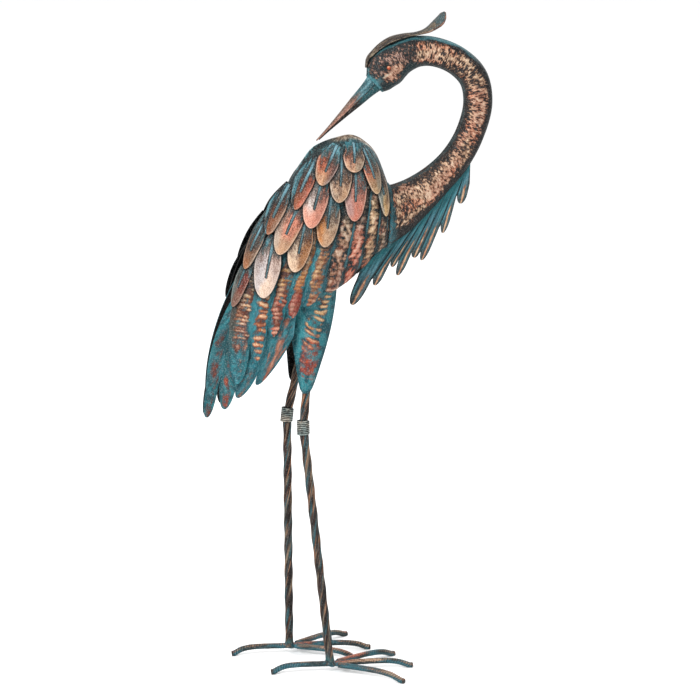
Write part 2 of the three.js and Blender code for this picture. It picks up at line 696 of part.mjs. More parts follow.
const heron = new THREE.Group();
const otherSide = new THREE.Group(); // holds the right side's copies of the left side's pieces
otherSide.scale.y = -1;
heron.add(otherSide);
function place(name, geometry, material, group = heron) {
  const mesh = new THREE.Mesh(geometry, material);
  mesh.name = name;
  group.add(mesh);
}
// The same piece on both sides; geometry is the left one.
function placePair(name, geometry, material) {
  place("left_" + name, geometry, material);
  place("right_" + name, geometry, material, otherSide);
}

place("body_shell", bodyShell(), hammeredCopper);
place("neck_and_head", neckAndHead(), hammeredCopper);
place("upper_beak", mandible(1, 1, 1), featherCopper);
place("lower_beak", mandible(-1, 0.9, 0.97), hammeredCopper);
place("crest", crest(), featherCopper);
place("breast_plume", thicken(plume, SHEET), tealPlume);
placePair("eye", eye(), eyeCopper);
placePair("wing_flutes", thicken(wingComb, SHEET), tealFlutes);
placePair("tail_feathers", thicken(tailComb, SHEET), tealFlutes);

layDown(wingComb);
const fromTailUp = [...COVERTS].sort((a, b) => a.tip[1] - b.tip[1]);
for (const spec of fromTailUp)
  placePair("feather_" + spec.name, thicken(settle(spec), COVERT_SHEET), featherCopper);

// The legs: the right one leans forwards, the left one stands a step behind it and a little wider.
const FOOT_SIDE = 50; // the left foot's distance from the middle plane
const LEFT_HIP_SIDE = 33.5; // the left leg leans inwards to its hip, further forward than its knee
const LEGS = [
  {
    side: "left", outwards: 1, thighShift: -4, innerToe: 103,
    hip: [-40, LEFT_HIP_SIDE, 534], knee: [-82, 348], foot: [-79, FOOT_SIDE],
  },
  {
    side: "right", outwards: -1, thighShift: 0, innerToe: SIDE_TOE,
    hip: [-54, -LEG_SIDE, 534], knee: [-70, 346], foot: [-34, -LEG_SIDE],
  },
];
const KNEE_HALF = 11.5; // half the length of the wound wire
const KNEE_GAP = 1.2; // air between the two bars inside it
const UPPER_START = 0.4; // how far the upper bar is already turned at the knee, in radians
const FOOT_GAP = 1; // air between the leg and the rod of the foot, filled by weld on the real one
for (const { side, hip, knee, foot, outwards, thighShift, innerToe } of LEGS) {
  const y = outwards * LEG_SIDE;
  const hipPoint = new THREE.Vector3(...hip);
  const kneePoint = new THREE.Vector3(knee[0], y, knee[1]);
  const hub = new THREE.Vector3(...foot, 0);
  const legFoot = hub.clone().setZ(TOE_LEVEL + TOE_RADIUS + FOOT_GAP);
  const up = hipPoint.clone().sub(kneePoint).normalize();
  const down = legFoot.clone().sub(kneePoint).normalize();
  const coilAxis = up.clone().sub(down).normalize();
  const group = outwards === 1 ? heron : otherSide;
  place(side + "_thigh", thigh(thighShift), tealFlutes, group);
  const upperFoot = kneePoint.clone().addScaledVector(up, KNEE_GAP);
  place(side + "_upper_leg", twistedBar(upperFoot, hipPoint, UPPER_START), darkBar);
  place(side + "_lower_leg", twistedBar(legFoot, kneePoint, 0), darkBar);
  const sleeve = kneeCoil(
    kneePoint.clone().addScaledVector(coilAxis, -KNEE_HALF),
    kneePoint.clone().addScaledVector(coilAxis, KNEE_HALF),
  );
  place(side + "_knee_coil", sleeve, darkBar);
  place(side + "_long_toe", longToe(hub), darkBar);
  place(side + "_inner_toe", sideToe(hub, -outwards * INNER_SPREAD, innerToe), darkBar);
  place(side + "_outer_toe", sideToe(hub, outwards * OUTER_SPREAD, SIDE_TOE), darkBar);
}

const box = new THREE.Box3().setFromObject(heron);
heron.position.set(-(box.min.x + box.max.x) / 2, -(box.min.y + box.max.y) / 2, -box.min.z);

export default heron;
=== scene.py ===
# A metal heron garden statue: hammered sheet, fluted wings, small welded feathers, twisted-bar legs.
# Surfaces are worked out in millimetres, in the bird's own frame, whose middle plane is y = 0.
import math

import bpy
import numpy as np
from mathutils import Euler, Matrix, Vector


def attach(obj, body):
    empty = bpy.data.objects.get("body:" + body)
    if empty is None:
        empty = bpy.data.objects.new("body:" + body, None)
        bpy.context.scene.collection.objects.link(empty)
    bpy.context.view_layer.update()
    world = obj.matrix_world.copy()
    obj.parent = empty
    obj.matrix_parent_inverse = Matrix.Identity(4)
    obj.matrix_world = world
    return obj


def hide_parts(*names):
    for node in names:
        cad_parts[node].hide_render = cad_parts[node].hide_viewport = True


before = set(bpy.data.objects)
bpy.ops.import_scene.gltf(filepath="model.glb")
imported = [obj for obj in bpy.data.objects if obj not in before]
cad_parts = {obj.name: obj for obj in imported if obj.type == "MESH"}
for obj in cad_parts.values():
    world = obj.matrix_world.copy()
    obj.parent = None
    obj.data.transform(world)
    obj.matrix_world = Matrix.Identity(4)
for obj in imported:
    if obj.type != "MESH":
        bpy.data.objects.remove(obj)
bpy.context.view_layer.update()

SHIFT = np.array([4.304, -5.75, 0.0])  # from the bird's own frame to the part's, in mm
MIRROR = np.array([1, -1, 1])
SHEET = 1.1  # thickness of the large sheets
FEATHER_SHEET = 0.9

# Paints, as the eye sees them (0 to 255)
BLACK = (14, 15, 16)
DEEP_TEAL = (16, 66, 76)
TEAL = (42, 124, 132)
BRIGHT_TEAL = (70, 154, 164)
BROWN = (84, 60, 48)
COPPER = (198, 118, 84)
CREAM = (248, 222, 204)
TAUPE = (142, 130, 112)
PAINT_DEPTH = 0.66  # the paints are seen in more than full light, so they are this much deeper


def linear(color):
    c = np.asarray(color, float) / 255
    return PAINT_DEPTH * np.where(c <= 0.04045, c / 12.92, ((c + 0.055) / 1.055) ** 2.4)


def mix(a, b, t):
    return a + (b - a) * t


def blend(a, b, share):
    """Paint a turning to paint b; either may be one paint or one per point."""
    share = np.clip(np.asarray(share, float), 0, 1)[..., None]
    return mix(np.asarray(a, float), np.asarray(b, float), share)


def both(high, low, paint, share):
    return blend(high, paint, share), blend(low, paint, share)


def step(low, high, at):
    t = np.clip((np.asarray(at, float) - low) / (high - low), 0, 1)
    return t * t * (3 - 2 * t)


def hump(at, middle, half):
    """1 at the middle, falling to 0 at half a width away."""
    return 1 - step(0, half, np.abs(np.asarray(at, float) - middle))


def xyz(x, y, z):
    return np.stack(np.broadcast_arrays(x, y, z), -1)


def around(n):
    """n angles round a ring, as a row."""
    return np.linspace(0, 2 * math.pi, n, endpoint=False)[None, :]


def down(n):
    """n shares from 0 to 1, as a column."""
    return np.linspace(0, 1, n)[:, None]


def run_along(line):
    """How far along a line of points each one lies."""
    return np.concatenate([[0], np.cumsum(np.linalg.norm(np.diff(line, axis=0), axis=1))])[:, None]


def ring(centre, first, second, radius, turn):
    """Points at a radius round a centre, turned from the first direction towards the second."""
    return centre + first * (radius * np.cos(turn))[..., None] + second * (radius * np.sin(turn))[..., None]


def profile(knots):
    """A smooth curve through (place, value) pairs, held level outside them."""
    places, values = np.array(knots, float).T
    last = len(places) - 1
    after = np.minimum(np.arange(last + 1) + 1, last)
    before = np.maximum(np.arange(last + 1) - 1, 0)
    slopes = (values[after] - values[before]) / (places[after] - places[before])

    def curve(at):
        at = np.clip(np.asarray(at, float), places[0], places[-1])
        i = np.clip(np.searchsorted(places, at, side="right") - 1, 0, last - 1)
        span = places[i + 1] - places[i]
        t = (at - places[i]) / span
        return (
            values[i] * (1 + 2 * t) * (1 - t) ** 2
            + slopes[i] * span * t * (1 - t) ** 2
            + values[i + 1] * t * t * (3 - 2 * t)
            + slopes[i + 1] * span * t * t * (t - 1)
        )

    return curve


def lattice(cell, seed):
    x, y, z = np.moveaxis(cell, -1, 0)
    h = (x * 374761393 + y * 668265263 + z * 1440670441 + seed * 1274126177) & 0xFFFFFFFF
    h = ((h ^ (h >> 13)) * 1274126177) & 0xFFFFFFFF
    return ((h ^ (h >> 16)) & 0xFFFF) / 65535


def noise(places, size, seed=0):
    """Smooth noise from 0 to 1, with lumps of a size in mm: one number, or one along and one across."""
    along, across = np.broadcast_to(size, 2)
    q = places / np.array([along, across, across]) + 0.37 * seed
    cell = np.floor(q).astype(np.int64)
    f = q - cell
    f = f * f * (3 - 2 * f)
    total = 0
    for corner in np.ndindex(2, 2, 2):
        weight = np.prod(np.where(corner, f, 1 - f), axis=-1)
        total = total + weight * lattice(cell + np.array(corner), seed)
    return total


def rough_noise(places, size, seed=0):
    size = np.asarray(size, float)
    return 0.62 * noise(places, size, seed) + 0.38 * noise(places, size * 0.47, seed + 7)


def creases(rough):
    """Sharp crests up to 1 where the noise is halfway."""
    return 1 - np.abs(2 * rough - 1) * 1.6


class Grain:
    """The noise on one piece, in fields that are told apart by a number."""

    def __init__(self, flow, seed):
        self.flow = flow
        self.seed = seed

    def even(self, number, size):
        return noise(self.flow, size, self.seed + number)

    def rough(self, number, size):
        return rough_noise(self.flow, size, self.seed + number)

    def spots(self, number, size, low, high):
        """0 where the noise is under low, 1 where it is over high."""
        return step(low, high, self.even(number, size))


# Making pieces


class Patch:
    """A grid of points in mm with its paint: low in the hollows, high on what is rubbed, and relief
    from 0 to 1 choosing between them. flow is each point's place in the sheet, along and across it."""

    def __init__(self, points, flow, low, high, relief):
        shape = points.shape[:-1]
        self.points = points
        self.flow = np.broadcast_to(flow, shape + (3,))
        self.low = np.broadcast_to(np.asarray(low, float), shape + (3,))
        self.high = np.broadcast_to(np.asarray(high, float), shape + (3,))
        self.relief = np.broadcast_to(relief, shape)

    def turned_over(self):
        """The same patch with its columns in reverse, so that it faces the other way."""
        fields = (self.points, self.flow, self.low, self.high, self.relief)
        return Patch(*(field[:, ::-1] for field in fields))


def grid_quads(rows, columns, start=0, closed=False):
    across = columns if closed else columns - 1
    r, c = np.meshgrid(np.arange(rows - 1), np.arange(across), indexing="ij")
    d = (c + 1) % columns
    quads = np.stack([r * columns + c, (r + 1) * columns + c, (r + 1) * columns + d, r * columns + d], -1)
    return quads.reshape(-1, 4) + start


def stacked(patches, field, width):
    return np.concatenate([getattr(p, field).reshape(-1, width) for p in patches])


def point_normals(points, quads):
    a, b, c, d = (points[quads[:, i]] for i in range(4))
    face = np.cross(c - a, d - b)
    normals = np.zeros_like(points)
    for i in range(4):
        np.add.at(normals, quads[:, i], face)
    return normals / np.maximum(np.linalg.norm(normals, axis=1, keepdims=True), 1e-12)


def add_piece(name, node, points, faces, paint, finish, sharp=None):
    """A mesh object from points in mm and lists of faces, with its paint as attributes. The finish is a
    material and the slot it stands for; the slot is not used."""
    material, slot = finish
    mesh = bpy.data.meshes.new(name)
    mesh.from_pydata(((points + SHIFT) / 1000).tolist(), [], faces)
    mesh.shade_smooth()
    flow, low, high, relief = paint

    def attribute(key, kind, field, values):
        mesh.attributes.new(key, kind, "POINT").data.foreach_set(field, values.astype(np.float32).ravel())

    attribute("flow", "FLOAT_VECTOR", "vector", flow)
    for key, color in (("low", low), ("high", high)):
        rgba = np.ones((len(points), 4))
        rgba[:, :3] = linear(np.clip(color, 0, 255))
        attribute(key, "FLOAT_COLOR", "color", rgba)
    attribute("relief", "FLOAT", "value", relief)
    if sharp is not None and len(sharp):
        ends = np.empty(len(mesh.edges) * 2, np.int64)
        mesh.edges.foreach_get("vertices", ends)
        ends = np.sort(ends.reshape(-1, 2), axis=1)
        wanted = np.sort(sharp, axis=1)
        n = len(points)
        flags = np.isin(ends[:, 0] * n + ends[:, 1], wanted[:, 0] * n + wanted[:, 1])
        mesh.attributes.new("sharp_edge", "BOOLEAN", "EDGE").data.foreach_set("value", flags)
    mesh.materials.append(material)
    piece = bpy.data.objects.new(name, mesh)
    bpy.context.scene.collection.objects.link(piece)
    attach(piece, "root")
    if node:
        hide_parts(node)
    return piece


def mirrored(patches):
    """The same patches on the right side, turned over so that they still face outwards."""
    turned = [patch.turned_over() for patch in patches]
    for patch in turned:
        patch.points = patch.points * MIRROR
    return turned


JOINS_PER_MM = 500  # points of neighbouring patches are one where they round to the same place
BACK_FLOW = 900  # sets the back's marks apart from the face's
INSIDE_RELIEF = 0.3


def add_sheet(name, node, patches, thickness, finish, inside=BLACK):
    """A sheet of metal: the patches are its face, joined where their points meet. Its back is painted
    like its face where inside is None."""
    points = stacked(patches, "points", 3)
    start = 0
    quads = []
    for p in patches:
        rows, columns = p.points.shape[:2]
        quads.append(grid_quads(rows, columns, start))
        start += rows * columns
    quads = np.concatenate(quads)
    places = np.round(points * JOINS_PER_MM).astype(np.int64)
    _, first, joined = np.unique(places, axis=0, return_index=True, return_inverse=True)
    quads = joined.reshape(-1)[quads]
    points = points[first]
    flow, low, high = (stacked(patches, f, 3)[first] for f in ("flow", "low", "high"))
    relief = stacked(patches, "relief", 1)[first, 0]
    n = len(points)
    back = points - point_normals(points, quads) * thickness
    edges = np.concatenate([quads[:, [i, (i + 1) % 4]] for i in range(4)])
    keys = edges[:, 0] * n + edges[:, 1]
    rim = edges[~np.isin(edges[:, 1] * n + edges[:, 0], keys)]
    rim = rim[rim[:, 0] != rim[:, 1]]
    sides = np.stack([rim[:, 1], rim[:, 0], rim[:, 0] + n, rim[:, 1] + n], -1)
    faces = np.concatenate([quads, quads[:, ::-1] + n, sides])
    faces = [list(dict.fromkeys(f)) for f in faces.tolist()]
    faces = [f for f in faces if len(f) > 2]
    back_low, back_high, back_relief = low, high, relief
    if inside is not None:
        back_low = np.broadcast_to(np.asarray(inside, float), (n, 3))
        back_high, back_relief = back_low * 1.6, np.full(n, INSIDE_RELIEF)
    paint = (
        np.concatenate([flow, flow + BACK_FLOW]),
        np.concatenate([low, back_low]),
        np.concatenate([high, back_high]),
        np.concatenate([relief, back_relief]),
    )
    sharp = np.concatenate([rim, rim + n])
    return add_piece(name, node, np.concatenate([points, back]), faces, paint, finish, sharp)


def add_tube(name, node, patch, finish, sharp_ends=True):
    """A closed tube: the patch's columns run round it, and its first and last rows are capped."""
    rows, columns = patch.points.shape[:2]
    points = patch.points.reshape(-1, 3)
    faces = grid_quads(rows, columns, closed=True).tolist()
    n = len(points)
    column = np.arange(columns)
    loop = np.stack([column, np.roll(column, -1)], -1)
    ends = [points[:columns].mean(axis=0), points[-columns:].mean(axis=0)]
    for centre, edges in ((n, loop), (n + 1, loop[:, ::-1] + n - columns)):
        faces.extend([a, b, centre] for a, b in edges.tolist())
    fields = []
    for field, width in (("flow", 3), ("low", 3), ("high", 3), ("relief", 1)):
        values = getattr(patch, field).reshape(-1, width)
        values = np.concatenate([values, values[:1], values[-1:]])
        fields.append(values if width == 3 else values[:, 0])
    sharp = np.concatenate([loop, loop + n - columns]) if sharp_ends else None
    return add_piece(name, node, np.concatenate([points, ends]), faces, fields, finish, sharp)


# Materials

# What the paints are multiplied or screened with: where the rubbed paint thins out at its edges, on the
# crests (worn, and a painted highlight), in the pores, on the dust between them and under faint clouds
UNDERCOAT = (0.42, 0.3, 0.25, 1)
WEAR_AND_HIGHLIGHT = (0.5, 0.4, 0.3, 1)
PORE = (0.2, 0.19, 0.19, 1)
DUST = (0.55, 0.5, 0.46, 1)
CLOUD = (0.72, 0.74, 0.76, 1)


def metal(
    name, metallic, streak, pore_size, spread=0.5, soft=0.16, pores=0.4, bump=0.3, crests=0.2, browning=1,
    slot=None,
):
    """Patinated sheet: high paint where relief is high, low paint in the hollows, with a fine grain.
    streak is the size of that grain in mm, along and across the sheet. spread is how far it moves the
    shore between the paints, soft how wide the shore is, and crests how much the tops are screened
    paler, partly as wear and partly as a painted highlight."""
    material = bpy.data.materials.new(name)
    material.use_nodes = True
    nodes, links = material.node_tree.nodes, material.node_tree.links
    shader = nodes["Principled BSDF"]
    shader.inputs["Specular IOR Level"].default_value = 0.15

    def attribute(key):
        node = nodes.new("ShaderNodeAttribute")
        node.attribute_name = key
        return node

    def math_node(operation, a, b):
        node = nodes.new("ShaderNodeMath")
        node.operation = operation
        for socket, value in zip(node.inputs, (a, b)):
            if isinstance(value, (int, float)):
                socket.default_value = value
            else:
                links.new(value, socket)
        return node.outputs[0]

    def grain(size, detail, seed):
        scale = nodes.new("ShaderNodeVectorMath")
        scale.operation = "MULTIPLY_ADD"
        links.new(attribute("flow").outputs["Vector"], scale.inputs[0])
        scale.inputs[1].default_value = (1 / size[0], 1 / size[1], 1 / size[1])
        scale.inputs[2].default_value = (seed, seed * 1.7, seed * 0.6)
        texture = nodes.new("ShaderNodeTexNoise")
        texture.inputs["Scale"].default_value = 1
        texture.inputs["Detail"].default_value = detail
        links.new(scale.outputs[0], texture.inputs["Vector"])
        return texture.outputs["Fac"]

    def stretch(value, low, high, to_low, to_high):
        node = nodes.new("ShaderNodeMapRange")
        node.interpolation_type = "SMOOTHSTEP"
        links.new(value, node.inputs["Value"])
        for key, number in zip(("From Min", "From Max", "To Min", "To Max"), (low, high, to_low, to_high)):
            node.inputs[key].default_value = number
        return node.outputs["Result"]

    def mix_color(kind, a, b, share):
        node = nodes.new("ShaderNodeMix")
        node.data_type = "RGBA"
        node.blend_type = kind
        links.new(a, node.inputs[6])
        if isinstance(b, tuple):
            node.inputs[7].default_value = b
        else:
            links.new(b, node.inputs[7])
        links.new(share, node.inputs[0])
        return node.outputs[2]

    fine = grain(streak, 3, 0.0)
    relief = attribute("relief").outputs["Fac"]
    level = math_node("ADD", relief, math_node("MULTIPLY", math_node("SUBTRACT", fine, 0.5), spread * 2))
    rubbed = stretch(level, 0.5 - soft, 0.5 + soft, 0, 1)
    high = attribute("high").outputs["Color"]
    browned = mix_color("MULTIPLY", high, UNDERCOAT, stretch(level, 0.5 + soft * 1.6, 0.5, 0, browning))
    color = mix_color("MIX", attribute("low").outputs["Color"], browned, rubbed)
    # The crests are screened paler: partly wear, partly a painted highlight
    color = mix_color("SCREEN", color, WEAR_AND_HIGHLIGHT, stretch(level, 0.75, 1.3, 0, crests))
    specks = grain((pore_size, pore_size), 2, 5.3)
    color = mix_color("MULTIPLY", color, PORE, stretch(specks, 0.5, 0.68, 0, pores))
    color = mix_color("SCREEN", color, DUST, stretch(specks, 0.46, 0.32, 0, pores * 0.4))
    clouds = grain((17.0, 11.0), 2, 9.1)
    color = mix_color("MULTIPLY", color, CLOUD, stretch(clouds, 0.42, 0.66, 0, 0.5))
    links.new(color, shader.inputs["Base Color"])
    links.new(stretch(rubbed, 0, 1, 0.62, 0.5), shader.inputs["Roughness"])
    links.new(stretch(rubbed, 0, 1, 0, metallic), shader.inputs["Metallic"])
    height = math_node("ADD", math_node("MULTIPLY", fine, 0.7), math_node("MULTIPLY", specks, -0.3))
    bump_node = nodes.new("ShaderNodeBump")
    bump_node.inputs["Strength"].default_value = bump
    bump_node.inputs["Distance"].default_value = 0.001
    links.new(height, bump_node.inputs["Height"])
    links.new(bump_node.outputs["Normal"], shader.inputs["Normal"])
    return material, slot or name


NECK_METAL = metal("hammered_copper", 0.3, (1.25, 3.4), 1.3, 0.75, 0.22, pores=0.38, bump=0.7, crests=0.5)
FLUTE_METAL = metal("teal_flutes", 0.3, (1.6, 2.6), 1.5, 0.5, 0.3, bump=0.5, crests=0.35, browning=0.6)
FEATHER_METAL = metal("feather_copper", 0.2, (2.4, 1.3), 1.2, 0.4, 0.26, pores=0.6, bump=0.25, crests=0.1)
PLUME_METAL = metal("teal_plume", 0.3, (6.0, 1.1), 1.3, 0.36, bump=0.2)
BAR_METAL = metal("dark_bar", 0.35, (18.0, 0.8), 1.1, 0.6, 0.14)
ROD_METAL = metal("ribbed_rod", 0.35, (2.4, 1.4), 1.2, 0.4, 0.18, slot="dark_bar")
EYE_METAL = metal("eye_copper", 0.6, (1.5, 1.5), 0.9, 0.2, pores=0.2, bump=0.1)

# The body's and the wings' surfaces, as half widths over the side view

back_line = profile([
    (-146, 548), (-143, 575), (-136, 602), (-125, 622), (-107, 646), (-94, 661), (-80, 679),
    (-67, 697), (-54, 712), (-40, 722), (-27, 730), (-13, 735), (0, 737), (11, 734), (20, 728),
    (29, 720), (36, 710), (41, 699), (45, 688), (52, 668),
])
belly_line = profile([
    (-146, 540), (-143, 515), (-136, 497), (-120, 487), (-100, 488), (-75, 495),
    (-50, 507), (-30, 520), (-10, 537), (10, 555), (30, 573), (50, 584),
])
flank_width = profile([
    (-146, 3), (-143, 18), (-136, 29), (-120, 38), (-100, 45), (-75, 50),
    (-50, 53), (-10, 52.5), (10, 51), (30, 48), (50, 42),
])
shell_inset = profile([(-10, 6.5), (30, 6), (50, 4)])
belly_inset = profile([(10, 8), (50, 0)])
leaf_width = profile([
    (-10, 22), (20, 39), (60, 50), (120, 57), (200, 58), (270, 54), (340, 42), (420, 21),
])
back_edge = profile([
    (0, 10), (16, 22), (43, 39), (82, 49), (122, 59), (155, 65),
    (198, 66), (230, 61), (263, 52), (325, 42), (385, 32), (420, 24),
])
back_roll = profile([
    (0, 25), (16, 33), (43, 40), (82, 44), (122, 45), (155, 44),
    (198, 38), (230, 26), (263, 15), (325, 11), (420, 7),
])


def ellipse_out(x, z):
    top, bottom = back_line(x), belly_line(x)
    rise = (2 * z - top - bottom) / (top - bottom)
    return flank_width(x) * np.sqrt(np.maximum(0.02, 1 - rise * rise))


HUMP_TOP = 735  # the leaf shape of the wing begins at this height over x = 0
LEAF_X, LEAF_Z = -0.447, -0.894  # and runs this way
FLANK_TO, LEAF_FROM = -5, -60  # the wing follows the body ahead of the first and the leaf behind the second


def leaf_out(x, z):
    along = LEAF_X * x + LEAF_Z * (z - HUMP_TOP)
    across = LEAF_X * (z - HUMP_TOP) - LEAF_Z * x
    back = back_roll(along) * np.minimum(1.6, np.maximum(0, -across / back_edge(along)) ** 3)
    rolled = np.where(across < 0, back, 6 * (across / 75) ** 2)
    return leaf_width(along) + 0.35 * (along / 420) ** 2 * across - rolled


def wing_face(x, z):
    return mix(ellipse_out(x, z), leaf_out(x, z), step(FLANK_TO, LEAF_FROM, x))


def side_view(x, height, z):
    """Points whose height stands off the wing's face."""
    return xyz(x, wing_face(x, z) + height, z)


# The small feathers: root, tip, width, bow and dip
FEATHERS = {
    "neck_edge": ((20, 719), (41, 632), 18, -4, 3),
    "shoulder_1": ((11, 724), (28, 663), 22, -2, 3),
    "shoulder_2": ((0, 729), (-4, 692), 29, 0, 3),
    "shoulder_3": ((-22, 726), (-50, 677), 27, 2, 4),
    "upper_1": ((0, 710), (-3, 627), 31, 0, 0),
    "upper_2": ((-17, 721), (-25, 653), 31, 0, 3),
    "upper_3": ((-49, 710), (-84, 645), 22, 3, 5),
    "middle_1": ((-33, 672), (-44, 594), 32, 0, 0),
    "middle_2": ((-41, 694), (-65, 621), 32, 2, 0),
    "middle_3": ((-85, 674), (-119, 611), 20, 3, 5),
    "lower_1": ((-67, 640), (-85, 562), 32, 0, 0),
    "lower_2": ((-68, 667), (-106, 586), 30, 2, 0),
    "lower_3": ((-115, 634), (-149, 565), 20, 3, 4),
    "last_1": ((-109, 610), (-128, 529), 33, 1, 0),
    "last_2": ((-133, 590), (-165, 514), 21, 4, 0),
}
# Their paints: tip, middle, and an accent with the side it lies on (1 towards the tail), the share of dark
# grain and how far the teal of the root reaches
FEATHER_PAINTS = {
    "neck_edge": ((196, 158, 108), TAUPE, (112, 126, 124), 1, 0.7, 0.35),
    "shoulder_1": ((194, 156, 112), (204, 112, 78), TAUPE, -1, 0.4, 0.45),
    "shoulder_2": ((200, 152, 118), (204, 142, 114), (166, 146, 124), -1, 0.75, 0.3),
    "shoulder_3": ((206, 152, 114), (206, 116, 84), (140, 120, 122), -1, 0.45, 0.35),
    "upper_1": ((210, 124, 102), (206, 138, 120), (192, 152, 146), 1, 0.2, 0.5),
    "upper_2": ((204, 160, 124), (182, 154, 130), (170, 150, 132), 1, 0.95, 0.35),
    "upper_3": ((156, 84, 54), (96, 54, 42), (176, 82, 56), -1, 0.3, 0.35),
    "middle_1": ((204, 160, 124), (186, 168, 146), (206, 124, 56), 1, 0.45, 0.45),
    "middle_2": ((228, 156, 132), (206, 194, 188), (222, 142, 118), -1, 0.2, 0.45),
    "middle_3": ((150, 84, 48), (116, 68, 46), (140, 104, 82), -1, 0.3, 0.4),
    "lower_1": ((236, 200, 168), (206, 186, 162), (164, 106, 62), -1, 0.5, 0.3),
    "lower_2": ((200, 154, 118), (216, 138, 112), (196, 176, 158), 1, 0.2, 0.4),
    "lower_3": ((160, 98, 56), (122, 94, 76), (144, 118, 98), -1, 0.4, 0.5),
    "last_1": ((234, 204, 182), (214, 190, 178), (196, 188, 188), 1, 0.1, 0.35),
    "last_2": ((124, 84, 70), (128, 58, 48), (92, 122, 122), 1, 0.35, 0.5),
}
blade_width = profile([(0, 0.4), (0.2, 0.72), (0.44, 1), (0.62, 0.96), (0.8, 0.79), (0.93, 0.58), (1, 0.5)])
DIP_END = 0.3
CAMBER = 3.2
QUILL_DEPTH = 1.1
QUILL_END = 0.68
TIP_FROM = 0.86  # the share of a feather's length where its round tip begins

# The feathers along the back, and how much closer in the left wing's lie than the right wing's
LEFT_INWARDS = {"upper_3": 6.4, "middle_3": 6.4, "lower_3": 1.0, "last_2": 0.0}
# How wide their rear halves are, beside the front ones; the wider two have a hem of bare teal there
REAR_HALF = {"upper_3": 0.95, "middle_3": 0.95, "lower_3": 0.55, "last_2": 0.55}
HEMMED = ("upper_3", "middle_3")


def feather_frame(name):
    root, tip = np.array(FEATHERS[name][:2], float)
    length = np.linalg.norm(tip - root)
    along = (tip - root) / length
    return root, along, np.array([along[1], -along[0]]), length, FEATHERS[name][3]


def tip_shares(n):
    """Shares of a feather's length down its round tip, closer together towards the end."""
    return TIP_FROM + (1 - TIP_FROM) * np.sin(np.linspace(0, math.pi / 2, n + 1)[1:])


def half_width(name, s):
    """A feather's half width in the side view, at a share of its length."""
    width = FEATHERS[name][2]
    past = np.clip((s - TIP_FROM) / (1 - TIP_FROM), 0, 1)
    body = blade_width(s)
    if name == "shoulder_2":
        body = mix(body, 0.8, 1 - step(0.1, 0.5, s))
    return width / 2 * body * np.sqrt(np.maximum(0, 1 - past**2))


def feather_place(name, s, across, inwards=0):
    """Places in the side view, at shares of the length and mm towards the tail."""
    root, along, side, length, bow = feather_frame(name)
    if name in REAR_HALF:
        across = np.where(across > 0, REAR_HALF[name] * across, across)
    aside = across + bow * 4 * s * (1 - s) - inwards
    return root + along * (s * length)[..., None] + side * aside[..., None]


def feather_outline(name):
    s = np.concatenate([np.linspace(0, TIP_FROM, 14), tip_shares(10)])
    half = half_width(name, s)
    return np.concatenate([feather_place(name, s, half), feather_place(name, s[::-1], -half[::-1])])


def inside_feather(name, places):
    root, along, side, length, bow = feather_frame(name)
    s = (places - root) @ along / length
    across = (places - root) @ side - bow * 4 * s * (1 - s)
    return (s > 0) & (s < 1) & (np.abs(across) < half_width(name, np.clip(s, 0, 1)))


def crevice_shade(places, names, reach=3.2):
    """How deep a place lies in the crevice beside or under these feathers, from 0 to 1, and so how much
    painted shade it gets.
    """
    flat = places.reshape(-1, 2)
    deep = np.zeros(len(flat))
    for name in names:
        outline = feather_outline(name)
        low, high = outline.min(0) - 4 * reach, outline.max(0) + 4 * reach
        near = np.all((flat > low) & (flat < high), axis=1)
        if not near.any():
            continue
        points = flat[near]
        starts, ends = outline, np.roll(outline, -1, axis=0)
        spans = ends - starts
        t = np.einsum("pnd,nd->pn", points[:, None] - starts, spans) / np.maximum((spans**2).sum(1), 1e-9)
        nearest = starts + spans * np.clip(t, 0, 1)[..., None]
        gap = np.linalg.norm(points[:, None] - nearest, axis=2).min(1)
        gap[inside_feather(name, points)] = 0
        deep[near] = np.maximum(deep[near], np.exp(-gap / reach))
    return deep.reshape(places.shape[:-1])


def rest_heights(name):
    """How far the solid feather stands off the wing at its root and at its tip."""
    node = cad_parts["left_feather_" + name]
    corners = np.array([v.co for v in node.data.vertices]) * 1000 - SHIFT
    root, tip, _, _, dip = FEATHERS[name]
    found = []
    for (x, z), own in ((root, CAMBER * 0.32 - QUILL_DEPTH - dip), (tip, CAMBER * 0.6)):
        off = np.abs(corners[:, 0] - x) + np.abs(corners[:, 2] - z)
        height = corners[off < off.min() + 0.02, 1].max()
        found.append(height - wing_face(np.float64(x), np.float64(z)) - own)
    return found


TIP_ORDER = sorted(FEATHERS, key=lambda name: FEATHERS[name][1][1])


